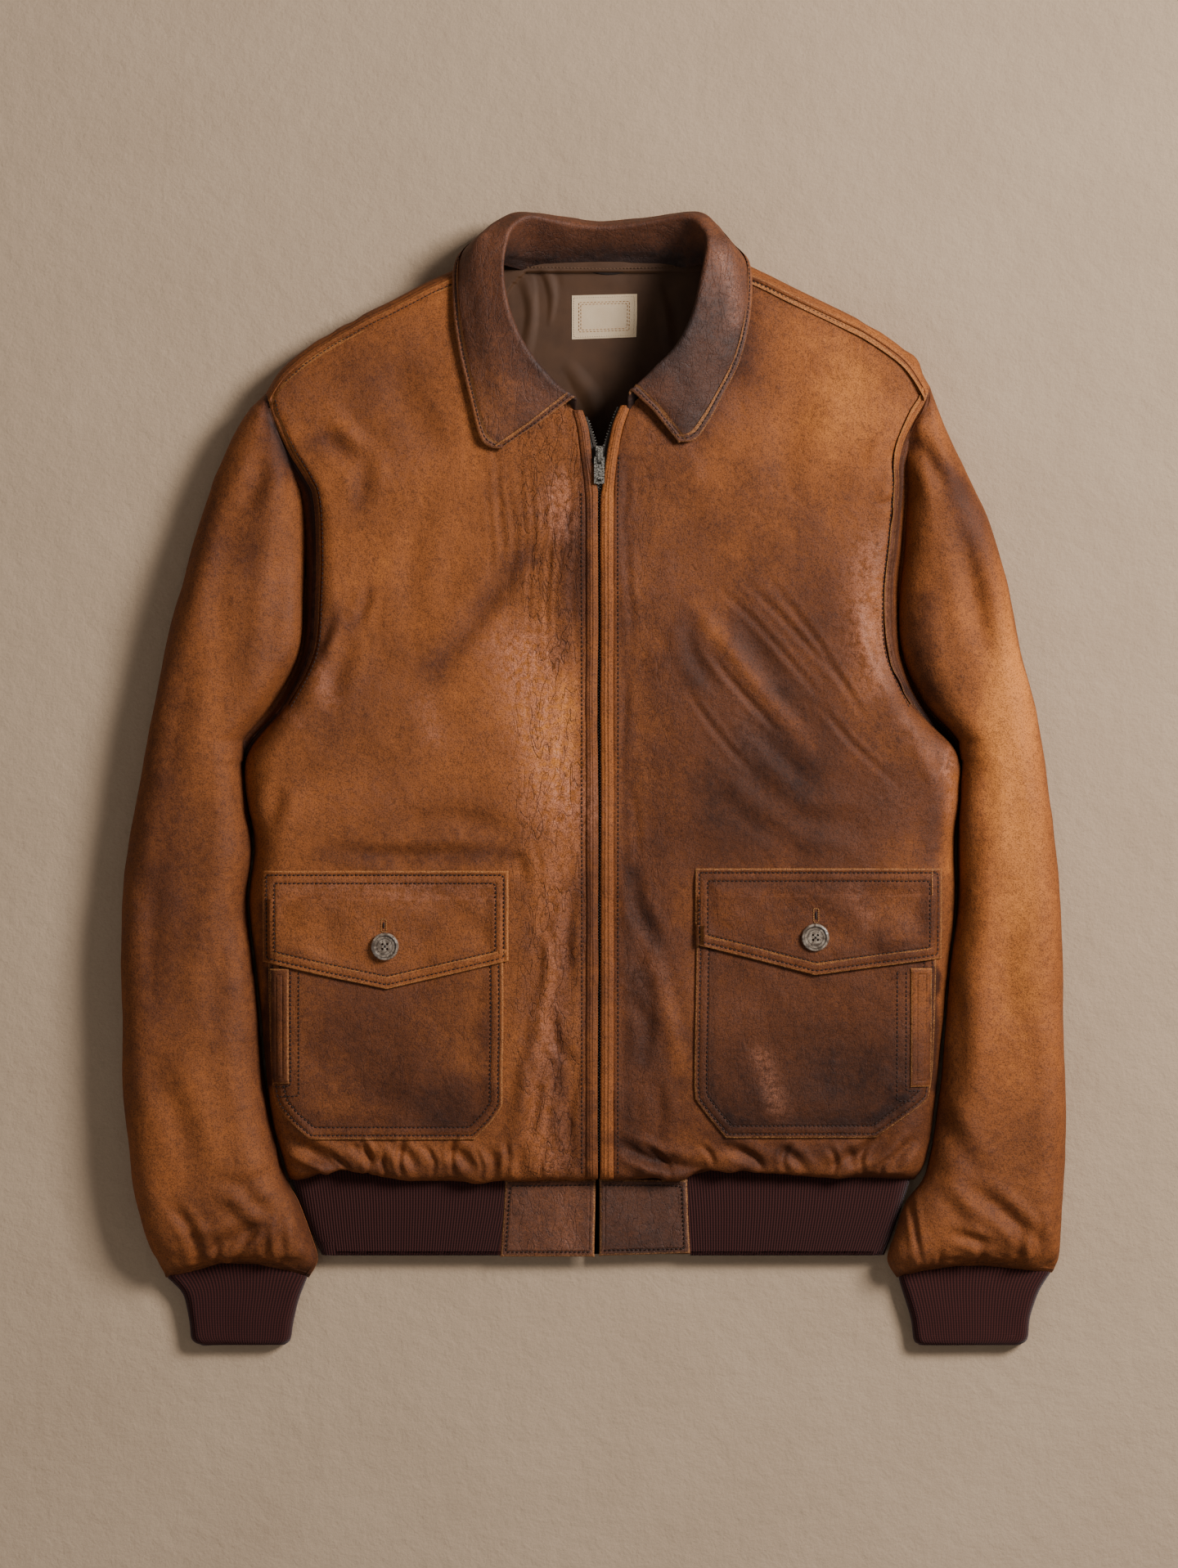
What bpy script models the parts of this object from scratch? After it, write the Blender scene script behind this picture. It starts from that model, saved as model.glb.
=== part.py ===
"""Worn leather flight jacket lying on its back, closed, with the collar open at the neck.

Plan outlines are in drawing units of the front view (u to the right, v down);
heights and sizes are in mm. +X is the right of the view, +Y runs to the collar, +Z is up.
"""
import math

import bmesh
import bpy
import numpy as np
from mathutils import Matrix, Vector
from mathutils.bvhtree import BVHTree

UNITS_PER_MM = 1.7
MIDDLE_U, MIDDLE_V = 725.0, 954.4
MM = 0.001

LEATHER = 1.6
SEAM = 0.2  # each side of a seam is trimmed by this
ON_PANEL = 1.1  # what lies on a panel clears it by this, as both are faceted
ON_BACK = 0.6  # the same for the lining on the back panel
NEAR_SIDE = [0, 0.012, 0.03, 0.055, 0.085, 0.12, 0.17, 0.3, 0.5, 0.75, 1]  # columns, dense at the side
SIDE_SEAM_Z = 14.0
HEM_SEAM_Z = 8.5
HEM_TOP = 17.5
FRONT_ROLL = 24.0
BACK_ROLL = 14.0
SHOULDER_OUT = 9.0
SHOULDER_RISE = 18.06
SHOULDER_END = math.radians(75)
STRIP_THICK = 3.4
STRIP_PROUD = 1.4
POCKET_THICK = 1.4
WELT_THICK = 1.2
FLAP_THICK = 1.6
RIB_THICK = 2.2
TAB_THICK = 3.0
COLLAR_THICK = 2.2
LINING_THICK = 1.0
BUTTON_ACROSS = 20.0
PULL_BAR = 0.7
LOOP_RADIUS = 1.1
LOOP_GAP = 0.45

ARM_ROWS = [6, 6.5, 7, 7.6, 8.5, 9.5, 10.5, 11.5, 12.5, 14, 16, 18]
BODY_ROWS = [0, 0.15, 0.5, 1.1, 2, 3, 4, 5] + ARM_ROWS
ACROSS = [0, 0.15, 0.45, 0.9, 2.4, 4.2, 6, 8, 8.5, 9, 9.7, 10.6, 12,
          13.4, 14.3, 15, 15.5, 16, 18, 19.8, 21.6, 23.1, 23.55, 23.85, 24]
ARM_SHARES = [0, 0.02, 0.05, 0.13, 0.25, 0.37, 0.42, 0.46, 0.5, 0.54, 0.58,
              0.68, 0.78, 0.85, 0.9, 0.935, 0.965, 0.983, 1]

LEFT_SIDE = [(352, 1441), (346, 1418), (330, 1353), (315, 1204), (304, 1105), (310, 1030), (300, 930),
             (350, 862), (381, 800), (387, 728), (388, 660), (384, 608), (375, 588), (366, 573),
             (357, 559), (348, 541), (340, 523), (334, 508), (330, 491)]
RIGHT_SIDE = [(1119, 1443), (1132, 1418), (1143, 1353), (1158, 1204), (1168, 1105), (1168, 1030),
              (1172, 930), (1117, 862), (1089, 800), (1085, 728), (1092, 660), (1097, 600), (1097, 570),
              (1101, 548), (1107, 532), (1114, 518), (1121, 506), (1128, 495), (1132, 483)]
LEFT_CENTRE = [(716, 1443), (716, 1418), (716, 1353), (716, 1204), (716, 1105), (716, 1030), (716, 930),
               (716, 860), (716, 800), (715, 730), (715, 660), (714, 600), (708, 550), (699, 502),
               (680, 485), (655, 458), (632, 425), (612, 378), (603, 324)]
RIGHT_CENTRE = [(751, 1443), (751, 1418), (751, 1353), (751, 1204), (751, 1105), (751, 1030), (751, 930),
                (751, 860), (751, 800), (751, 730), (751, 660), (752, 600), (757, 550), (772, 500),
                (790, 483), (815, 456), (840, 425), (858, 380), (868, 322)]
CENTRE_TOP = [33, 33, 37, 41, 42, 43, 45, 46, 46, 46, 46, 46, 46, 45, 45, 44, 43, 40, 35.5]
SIDE_TOP = [33, 33, 36, 39, 40, 42, 44, 44, 44, 44, 43, 42, 41, 40, 39, 38, 37, 36.5, 35.5]
SIDE_EDGE = [14, 14, 14, 14, 14, 14, 14, 30, 34, 35, 36, 36, 36, 36, 36, 36, 36, 35.6, 35.5]
SIDE_ANGLE = [0, 0, 0, 0, 0, 0, 0, 30, 45, 50, 55, 60, 62, 64, 66, 68, 70, 70, 70]
BACK_EDGE = [14, 14, 14, 14, 14, 14, 14, 3] + [0] * 11

LEFT_SHOULDER = [(330, 491), (346, 465), (370, 443), (402, 421), (450, 394), (481, 379), (529, 354),
                 (566, 338), (603, 324)]
RIGHT_SHOULDER = [(868, 322), (900, 332), (930, 344), (962, 360), (997, 377), (1030, 393), (1062, 410),
                  (1106, 443), (1132, 483)]
BACK_NECK = [(603, 324), (611, 316), (626, 314), (668, 319), (732, 321), (796, 318), (838, 313),
             (858, 311), (868, 322)]

LEFT_OUTER = [(174, 930), (189, 858), (203, 790), (220, 720), (238, 650), (256, 597), (266, 575),
              (275, 556), (285, 535), (297, 515), (308, 498), (318, 487), (324, 482)]
RIGHT_OUTER = [(1274, 930), (1262, 862), (1247, 795), (1231, 722), (1209, 645), (1190, 597), (1179, 572),
               (1169, 552), (1160, 533), (1153, 517), (1147, 503), (1142, 492), (1138, 482)]
LEFT_ARM = [((298, 930), (174, 930)), ((307.5, 1030), (158, 1030)), ((301.5, 1105), (151, 1105)),
            ((312, 1204), (148, 1204)), ((325, 1330), (152, 1330)), ((346, 1430), (162, 1430)),
            ((365, 1470), (170, 1475)), ((380, 1510), (179, 1512)), ((388, 1540), (189, 1540)),
            ((377, 1563), (201, 1563))]
RIGHT_ARM = [((1174, 930), (1274, 930)), ((1170.5, 1030), (1289, 1030)), ((1170.5, 1105), (1297, 1105)),
             ((1160.5, 1204), (1300, 1204)), ((1150, 1330), (1302, 1330)), ((1134, 1430), (1302, 1430)),
             ((1108, 1470), (1300, 1475)), ((1094, 1510), (1298, 1512)), ((1085, 1540), (1294, 1540)),
             ((1097, 1563), (1288, 1559))]
ARM_TOP = [45, 45, 45, 45, 45, 43, 41, 38, 31, 15.5]
LEFT_CUFF = [((377, 1564), (201, 1564)), ((367, 1586), (222, 1587)), ((358, 1615), (229, 1615)),
             ((354, 1637), (233, 1637)), ((348, 1645), (244, 1645))]
RIGHT_CUFF = [((1097, 1564), (1288, 1560)), ((1105, 1586), (1272, 1583)), ((1113, 1612), (1262, 1610)),
              ((1118, 1637), (1258, 1636)), ((1124, 1645), (1250, 1645))]

COLLAR_LEFT = [
    ((704, 497, 47), (704, 487, 54), (660, 520, 52), (614, 551, 49)),
    ((684, 479, 47), (686, 477, 56), (640, 518, 53), (600, 549, 49)),
    ((661, 454, 47), (668, 459, 58), (625, 503, 54), (587, 535, 49)),
    ((638, 422, 46), (645, 429, 60), (607, 463, 55), (574, 485, 48)),
    ((619, 376, 44), (626, 391, 61), (592, 413, 55), (562, 432, 46)),
    ((611, 334, 41), (618, 342, 60), (584, 356, 52), (555, 380, 43)),
    ((615, 319, 31), (622, 301, 54), (580, 307, 48), (556, 326, 34)),
    ((630, 318, 19), (630, 278, 46), (594, 284, 40), (574, 301, 20)),
    ((649, 320, 10.5), (650, 266, 37), (630, 262, 28), (625, 268, 6)),
    ((690, 321, 8), (690, 273, 31), (690, 266, 18), (690, 274, 2.5)),
]
COLLAR_MIDDLE = ((732, 321, 7.6), (732, 278, 29), (732, 271, 17), (732, 279, 2.5))
COLLAR_RIGHT = [
    ((767, 495, 47), (769, 478, 54), (798, 505, 52), (829, 543, 49)),
    ((785, 477, 47), (785, 464, 56), (818, 500, 53), (848, 540, 49)),
    ((809, 451, 47), (804, 446, 58), (840, 490, 54), (864, 520, 49)),
    ((834, 421, 46), (829, 421, 60), (864, 455, 55), (882, 487, 48)),
    ((851, 378, 44), (846, 384, 61), (880, 413, 55), (903, 444, 46)),
    ((861, 335, 41), (856, 342, 60), (892, 358, 52), (916, 388, 43)),
    ((859, 319, 31), (862, 302, 54), (894, 308, 48), (917, 330, 34)),
    ((844, 317, 19), (858, 280, 46), (880, 286, 40), (900, 303, 20)),
    ((825, 318, 10.5), (836, 266, 37), (852, 262, 28), (862, 270, 6)),
    ((780, 320, 8), (780, 274, 31), (780, 267, 18), (780, 275, 2.5)),
]

LEFT_STRIP = [(716, 731, 1441), (716, 731, 1200), (716, 731, 900), (716, 731, 640), (714.5, 730.5, 598),
              (710, 724, 560), (706, 720, 528), (700, 713, 505)]
RIGHT_STRIP = [(734, 750.5, 1441), (734, 750.5, 1200), (734, 750.5, 900), (734, 750.5, 640),
               (736, 751, 598), (741, 755, 560), (748, 762, 524), (758, 771, 499)]

LEFT_POCKET = dict(rows=[1098, 1140, 1200, 1260, 1310, 1335, 1350, 1360, 1372, 1391],
                   left=[331, 330, 330, 331, 333, 335, 339, 347, 358, 380],
                   right=[613, 614, 615, 615, 614, 614, 614, 608, 599, 580])
RIGHT_POCKET = dict(rows=[1094, 1130, 1190, 1250, 1305, 1325, 1342, 1352, 1365, 1389],
                    left=[853, 852, 851, 850, 849, 849, 850, 857, 867, 887],
                    right=[1144, 1143, 1142, 1141, 1139, 1137, 1134, 1122, 1103, 1070])
LEFT_FLAP = dict(top=1065, across=[323, 398, 474, 548, 621], bottom=[1174, 1191, 1207, 1190, 1173])
RIGHT_FLAP = dict(top=1062, across=[850, 922, 995, 1070, 1149], bottom=[1153, 1171, 1190, 1180, 1170])
LEFT_WELT = ((332, 354), (1184, 1323))
RIGHT_WELT = ((1112, 1137), (1183, 1327))
LEFT_BUTTON = (472, 1156)
RIGHT_BUTTON = (995, 1145)
SLIDER_V = (548, 569)
PULL_END_V = 594
SLIDER_U = 732.5


def clearScene():
    for o in list(bpy.data.objects):
        bpy.data.objects.remove(o, do_unlink=True)


def plan(points):
    a = np.array(points, float)
    return np.stack(((a[..., 0] - MIDDLE_U) / UNITS_PER_MM, (MIDDLE_V - a[..., 1]) / UNITS_PER_MM), -1)


def solidPoints(points):
    a = np.array(points, float)
    return np.concatenate((plan(a[..., :2]), a[..., 2:]), -1)


def along(stations, t):
    """A smooth curve through the stations, read at the station numbers t."""
    p = np.array(stations, float)
    t = np.clip(np.atleast_1d(np.array(t, float)), 0, len(p) - 1)
    i = np.minimum(t.astype(int), len(p) - 2)
    f = (t - i).reshape((-1,) + (1,) * (p.ndim - 1))
    p1, p2 = p[i], p[i + 1]
    m1 = (p2 - p[np.maximum(i - 1, 0)]) / 2
    m2 = (p[np.minimum(i + 2, len(p) - 1)] - p1) / 2
    f2, f3 = f * f, f * f * f
    return (2 * f3 - 3 * f2 + 1) * p1 + (f3 - 2 * f2 + f) * m1 + (3 * f2 - 2 * f3) * p2 + (f3 - f2) * m2


def ease(x):
    x = np.clip(x, 0, 1)
    return x * x * (3 - 2 * x)


def quarter(x):
    """Quarter of a circle, from 0 to 1, upright at its start."""
    x = np.clip(x, 0, 1)
    return np.sqrt(1 - (1 - x) ** 2)


def material(name, color, roughness, metallic=0.0):
    m = bpy.data.materials.new(name)
    m.use_nodes = True
    shader = m.node_tree.nodes["Principled BSDF"]
    shader.inputs["Base Color"].default_value = (*color, 1)
    shader.inputs["Roughness"].default_value = roughness
    shader.inputs["Metallic"].default_value = metallic
    return m


def addObject(name, vertices, faces, look):
    mesh = bpy.data.meshes.new(name)
    mesh.from_pydata([tuple(v) for v in np.array(vertices) * MM], [], faces)
    b = bmesh.new()
    b.from_mesh(mesh)
    bmesh.ops.recalc_face_normals(b, faces=b.faces)
    if b.calc_volume(signed=True) < 0:
        bmesh.ops.reverse_faces(b, faces=b.faces)
    b.to_mesh(mesh)
    b.free()
    mesh.materials.append(look)
    o = bpy.data.objects.new(name, mesh)
    bpy.context.scene.collection.objects.link(o)
    return o


def normals(grid, ring=False):
    """Unit normals of a grid of points; ring says that its last column meets its first."""
    if ring:
        across = np.roll(grid, -1, 1) - np.roll(grid, 1, 1)
    else:
        across = np.gradient(grid, axis=1, edge_order=2)
    down = np.gradient(grid, axis=0, edge_order=2)
    n = np.cross(across, down)
    return n / np.maximum(np.linalg.norm(n, axis=2, keepdims=True), 1e-9)


def trimmed(grid, first_row=0.0, last_row=0.0, first_col=0.0, last_col=0.0):
    """The grid with its edges drawn in, for the seams."""
    g = grid.copy()
    for amount, edge, inner in ((first_row, 0, 1), (last_row, -1, -2)):
        step = g[inner] - g[edge]
        g[edge] += step / np.maximum(np.linalg.norm(step, axis=1, keepdims=True), 1e-9) * amount
    for amount, edge, inner in ((first_col, 0, 1), (last_col, -1, -2)):
        step = g[:, inner] - g[:, edge]
        g[:, edge] += step / np.maximum(np.linalg.norm(step, axis=1, keepdims=True), 1e-9) * amount
    return g


def wall(name, outer, inner, look, ring=False):
    """A closed wall between two grids of the same size."""
    rows, cols = outer.shape[:2]
    count = rows * cols
    faces = []
    last = cols if ring else cols - 1
    for i in range(rows - 1):
        for j in range(last):
            k = (j + 1) % cols
            a, b, c, d = i * cols + j, i * cols + k, (i + 1) * cols + k, (i + 1) * cols + j
            faces.append((a, b, c, d))
            faces.append((count + d, count + c, count + b, count + a))
    for j in range(last):
        k = (j + 1) % cols
        faces.append((j, count + j, count + k, k))
        e, f = (rows - 1) * cols + j, (rows - 1) * cols + k
        faces.append((e, f, count + f, count + e))
    if not ring:
        for i in range(rows - 1):
            a, b = i * cols, (i + 1) * cols
            faces.append((a, b, count + b, count + a))
            a, b = a + cols - 1, b + cols - 1
            faces.append((a, count + a, count + b, b))
    return addObject(name, np.concatenate((outer.reshape(-1, 3), inner.reshape(-1, 3))), faces, look)


def shell(name, outer, thickness, look, flip=False, trims=(SEAM, SEAM, SEAM, SEAM), steady=None):
    """A wall behind an outer grid; steady keeps its end normals upright in a seam's own plane."""
    inward = normals(outer) * (1 if flip else -1)
    if steady is not None:
        steady(inward)
    inward /= np.maximum(np.linalg.norm(inward, axis=2, keepdims=True), 1e-9)
    grid = trimmed(outer, *trims)
    return wall(name, grid, grid + inward * thickness, look)


def shoulderLine(shoulder, first, last):
    """The shoulder seam as the back panel has it: share from the neck, then the plan point."""
    stations = [t for t in ACROSS if first <= t <= last]
    points = along(plan(shoulder), np.array(stations) - first)
    share = (np.array(stations) - first) / (last - first)
    table = np.column_stack((share, points))
    if first == 0:
        table = table[::-1]
        table[:, 0] = 1 - table[:, 0]
    return table


def frontGrid(centre, side, shoulder, rows, flat_cols, roll_cols):
    """Outer points of a front panel: rows from hem to shoulder, columns from centre to side."""
    a, b = along(plan(centre), rows), along(plan(side), rows)
    middle_top, side_top = along(CENTRE_TOP, rows), along(SIDE_TOP, rows)
    end_z, end_angle = along(SIDE_EDGE, rows), np.radians(along(SIDE_ANGLE, rows))
    grid = np.zeros((len(rows), flat_cols + roll_cols, 3))
    for i in range(len(rows)):
        way = b[i] - a[i]
        width = np.linalg.norm(way)
        way /= width
        rise = float(quarter(rows[i]))
        edge = HEM_SEAM_Z + (end_z[i] - HEM_SEAM_Z) * float(ease(rows[i]))
        roll = min(FRONT_ROLL, 0.3 * width)
        angle = end_angle[i]
        flat_end = width - roll * math.cos(angle)
        r = np.linspace(0, flat_end, flat_cols)
        share = r / width
        top = middle_top[i] + (side_top[i] - middle_top[i]) * share
        top = HEM_TOP + (top - HEM_TOP) * rise
        grid[i, :flat_cols, :2] = a[i] + way * r[:, None]
        grid[i, :flat_cols, 2] = top
        turn = np.linspace(math.pi / 2, angle, roll_cols + 1)[1:]
        low = (edge - top[-1] * math.sin(angle)) / (1 - math.sin(angle))
        grid[i, flat_cols:, :2] = a[i] + way * (flat_end + roll * np.cos(turn))[:, None]
        grid[i, flat_cols:, 2] = low + (top[-1] - low) * np.sin(turn)
        if rows[i] > 12:
            share = np.linalg.norm(grid[i, :, :2] - a[i], axis=1) / width
            line = np.column_stack([np.interp(share, shoulder[:, 0], shoulder[:, k]) for k in (1, 2)])
            straight = a[-1] + (b[-1] - a[-1]) * share[:, None]
            grid[i, :, :2] += (line - straight) * float(ease((rows[i] - 12) / 6))
    return grid


def topRoll(s):
    """Seam points, outward directions and roll sizes along the back's top edge, from left to right."""
    line = LEFT_SHOULDER[:-1] + BACK_NECK + RIGHT_SHOULDER[1:]
    seam = along(plan(line), s)
    n_left, n_neck = len(LEFT_SHOULDER) - 1, len(BACK_NECK) - 1
    out = along([(-0.42, 0.91)] * (n_left + 1) + [(-0.35, 0.94), (-0.1, 1)] + [(0, 1)] * (n_neck - 5)
                + [(0.1, 1), (0.35, 0.94)] + [(0.42, 0.91)] * (len(RIGHT_SHOULDER) - 1 + 1), s)
    out /= np.linalg.norm(out, axis=1, keepdims=True)
    end = [75.0] * (n_left + 1) + [35, -10] + [-30] * (n_neck - 5) + [-10, 35] + [75.0] * len(RIGHT_SHOULDER)
    rise = [SHOULDER_RISE] * (n_left + 1) + [17, 14] + [10] * (n_neck - 5) + [14, 17]
    rise += [SHOULDER_RISE] * len(RIGHT_SHOULDER)
    return seam, out, np.radians(along(end, s)), along(rise, s)


def backGrid(flat_rows, across, roll_rows):
    left, right = along(plan(LEFT_SIDE), flat_rows), along(plan(RIGHT_SIDE), flat_rows)
    edge_z = np.maximum(along(BACK_EDGE, flat_rows), 0)
    seam, out, end, rise = topRoll(across)
    start = seam - out * (SHOULDER_OUT * np.cos(end))[:, None]
    share = (start[:, 0] - start[0, 0]) / (start[-1, 0] - start[0, 0])
    cols = len(across)
    grid = np.zeros((len(flat_rows) + roll_rows, cols, 3))
    straight = start[0] + (start[-1] - start[0]) * share[:, None]
    lift = start - straight
    arm_y = left[list(flat_rows).index(6), 1]
    for i, row in enumerate(flat_rows):
        edge = HEM_SEAM_Z + (edge_z[i] - HEM_SEAM_Z) * float(ease(row))
        w = max(0.0, (left[i, 1] - arm_y) / (left[-1, 1] - arm_y))
        grid[i, :, :2] = left[i] + (right[i] - left[i]) * share[:, None] + lift * w
        width = right[i, 0] - left[i, 0]
        near = np.minimum(share, 1 - share) * width
        grid[i, :, 2] = edge * (1 - quarter(near / BACK_ROLL))
    for k in range(roll_rows):
        f = (k + 1) / roll_rows
        beta = -math.pi / 2 + (end + math.pi / 2) * f
        grid[len(flat_rows) + k, :, :2] = seam + out * (SHOULDER_OUT * (np.cos(beta) - np.cos(end)))[:, None]
        grid[len(flat_rows) + k, :, 2] = rise * (1 + np.sin(beta))
    return grid


def armProfile(start, outer, top, back_z, front_z, dip, soft, counts):
    """One ring of a sleeve: underside from the inner end outward, round, and back over the top."""
    low_n, arc_n, top_n = counts
    way = outer - start
    width = np.linalg.norm(way)
    way /= width
    a = min(20.0, 0.42 * width)
    inner_roll = min(12.0, 0.2 * width)
    turn = np.linspace(0, math.pi / 2, 4)
    r_low = np.concatenate((inner_roll * (1 - np.cos(turn)), np.linspace(inner_roll, width - a, low_n - 3)[1:]))
    z_low = back_z * (1 - quarter(r_low / inner_roll))
    beta = np.linspace(-math.pi / 2, math.pi / 2, arc_n + 1)[1:]
    r_arc = width - a + a * np.cos(beta)
    z_arc = top / 2 * (1 + np.sin(beta))
    dip_at = min(9.0, 0.12 * width) * min(1.0, dip / 4)
    rise_over = min(26.0, 0.3 * width)
    valley = front_z - dip
    turn = np.linspace(math.pi / 2, 0, 6)
    r_rise = dip_at + rise_over * (1 - np.cos(turn))
    r_mid = np.linspace(width - a, dip_at + rise_over, top_n - 8)[1:-1]
    r_top = np.concatenate((r_mid, r_rise))
    q = np.clip((r_top - dip_at) / rise_over, 0, 1)
    z_top = valley + (top - valley) * ((1 - soft) * quarter(q) + soft * np.sin(q * math.pi / 2))
    if dip_at > 0.5:
        r_dip = np.array([0.66, 0.33, 0.0]) * dip_at
        z_dip = valley + dip * ease(1 - r_dip / dip_at)
    else:
        r_dip, z_dip = np.zeros(0), np.zeros(0)
    r = np.concatenate((r_low, r_arc, r_top, r_dip))
    z = np.concatenate((z_low, z_arc, z_top, z_dip))
    return start + way * r[:, None], z


def armGrid(side, outer, arm, counts):
    """Outer points of a sleeve: rows from the shoulder tip to the cuff seam."""
    rows = []
    arm_rows = ARM_ROWS[::-1]
    inner_points = along(plan(side), arm_rows)
    outer_points = along(plan(outer), np.array(arm_rows) - 6)
    front_z, back_z = along(SIDE_EDGE, arm_rows), np.maximum(along(BACK_EDGE, arm_rows), 0)
    for i, row in enumerate(arm_rows):
        if row > 17.5:
            continue
        top = float(along([45, 45, 45, 44, 43, 42, 41.5, 41, 40, 39, 38, 37, 36.5], row - 6)[0])
        dip = float(along([0.1, 14, 19, 19, 18, 12, 7, 4, 2, 1, 0.5, 0.1, 0.1], row - 6)[0])
        soft = float(ease((row - 9) / 3))
        p, z = armProfile(inner_points[i], outer_points[i], top, back_z[i], front_z[i], dip, soft, counts)
        rows.append(np.column_stack((p, z)))
    below = [0.6, 1.3, 2.2, 3.1, 4, 5, 6, 7, 7.6, 8.1, 8.6, 9]
    inner_points = along(plan([a for a, _ in arm]), below)
    outer_points = along(plan([b for _, b in arm]), below)
    tops = along(ARM_TOP, below)
    for i in range(len(below)):
        seam = min(SIDE_SEAM_Z, tops[i] / 2)
        p, z = armProfile(inner_points[i], outer_points[i], tops[i], seam, seam, 0.1, 0.0, counts)
        rows.append(np.column_stack((p, z)))
    return rows


def spaced(points, shares):
    """The same line with its points at these shares of its length."""
    step = np.linalg.norm(np.diff(points, axis=0), axis=1)
    at = np.concatenate(([0], np.cumsum(step)))
    wanted = np.array(shares) * at[-1]
    return np.column_stack([np.interp(wanted, at, points[:, k]) for k in range(3)])


def tipLoop(seam, out, shares):
    beta = -math.pi / 2 + (SHOULDER_END + math.pi / 2) * np.array(shares)
    p = seam + np.outer(SHOULDER_OUT * (np.cos(beta) - math.cos(SHOULDER_END)), out)
    return np.column_stack((p, SHOULDER_RISE * (1 + np.sin(beta))))


def uprightEnd(n):
    n[-1] = (0, 0, -1)


def sleeve(name, side, outer, arm, out, look):
    rows = [spaced(r, ARM_SHARES) for r in armGrid(side, outer, arm, (12, 16, 20))]
    tip = tipLoop(plan([side[-1]])[0], np.array(out), ARM_SHARES)
    sideways = np.array((-out[1], out[0], 0))

    def steady(n):
        n[0] -= np.outer(n[0] @ sideways, sideways)

    return shell(name, np.array([tip] + rows), LEATHER, look, out[0] < 0, (1.7, SEAM, 0.45, 0.55), steady)


def backPanel(look):
    rows = [r for r in BODY_ROWS if r <= 17.3]
    first = len(rows)

    def steady(n):
        for col, out in ((0, (-0.42, 0.91)), (-1, (0.42, 0.91))):
            sideways = np.array((-out[1], out[0], 0))
            n[first:, col] -= np.outer(n[first:, col] @ sideways, sideways)
        n[-1, :8] = n[-1, 17:] = (0, 0, -1)

    grid = backGrid(rows, ACROSS, 7)
    return shell("back_panel", grid, LEATHER, look, True, (SEAM, 0.5, 0.35, 0.35), steady), grid


def surfaceOf(grid):
    """Reads the height of a grid of points from above."""
    rows, cols = grid.shape[:2]
    faces = [(i * cols + j, i * cols + j + 1, (i + 1) * cols + j + 1, (i + 1) * cols + j)
             for i in range(rows - 1) for j in range(cols - 1)]
    tree = BVHTree.FromPolygons([tuple(p) for p in grid.reshape(-1, 3)], faces)

    def height(p):
        hit = tree.ray_cast((float(p[0]), float(p[1]), 500.0), (0, 0, -1))[0]
        return hit.z if hit else float("nan")

    return height


def lying(name, rows, height, gap, thickness, look):
    """A flat piece on a surface: rows of plan points, at a gap that may differ from row to row."""
    points = plan(rows)
    gaps = np.broadcast_to(np.array(gap, float).reshape(-1, 1), points.shape[:2])
    z = np.array([[height(p) for p in row] for row in points]) + gaps
    low = np.concatenate((points, z[..., None]), -1)
    return wall(name, low + (0, 0, thickness), low, look)


def between(left, right, v, shares):
    return [[(a + (b - a) * f, y) for f in shares] for a, b, y in zip(left, right, v)]


def pocket(name, spec, height, look, shares):
    rows = between(spec["left"], spec["right"], spec["rows"], shares)
    return lying(name, rows, height, ON_PANEL, POCKET_THICK, look)


def flap(name, spec, height, look, shares):
    """A flap with a pointed lower edge, lying over its pocket's top edge."""
    across = spec["across"][0] + (spec["across"][-1] - spec["across"][0]) * np.array(shares)
    low = np.interp(across, spec["across"], spec["bottom"])
    down = [0, 0.09, 0.28, 0.45, 0.72, 1]
    rows = [[(u, spec["top"] + (v - spec["top"]) * f) for u, v in zip(across, low)] for f in down]
    over = ON_PANEL + POCKET_THICK + 0.7
    return lying(name, rows, height, [ON_PANEL, 1.3, over, over, over, over], FLAP_THICK, look)


def welt(name, spec, height, look):
    (u1, u2), (v1, v2) = spec
    rows = [[(u, v) for u in np.linspace(u1, u2, 5)] for v in np.linspace(v1, v2, 6)]
    return lying(name, rows, height, ON_PANEL + POCKET_THICK + 1.0, WELT_THICK, look)


def tube(name, rings, look):
    """A closed body through rings of points, with flat ends."""
    count = len(rings[0])
    faces = [tuple(range(count))]
    for i in range(len(rings) - 1):
        for j in range(count):
            k = (j + 1) % count
            faces.append((i * count + j, i * count + k, (i + 1) * count + k, (i + 1) * count + j))
    start = (len(rings) - 1) * count
    faces.append(tuple(range(start + count - 1, start - 1, -1)))
    return addObject(name, np.concatenate(rings), faces, look)


def zipEdge(name, spec, centre_height, look):
    """The folded leather edge beside the zip, a rounded strip that stands a little proud."""
    table = np.array(spec, float)
    stations = [0, 0.04, 0.09, 0.15, 0.25, 0.4, 0.7, 1, 1.5, 2, 2.5, 3, 3.5, 4, 4.5, 5, 5.5, 6, 6.5, 7]
    rings = []
    for u1, u2, v in along(table, stations):
        (x1, y), (x2, _) = plan([(u1, v), (u2, v)])
        x1, x2 = x1 + 0.3, x2 - 0.3
        top = centre_height(y) + STRIP_PROUD
        low = top - STRIP_THICK
        rings.append(np.array([(x1, y, low), (x1, y, top - 0.9), (x1 + 0.9, y, top), (x2 - 0.9, y, top),
                               (x2, y, top - 0.9), (x2, y, low)]))
    return tube(name, rings, look)


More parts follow.
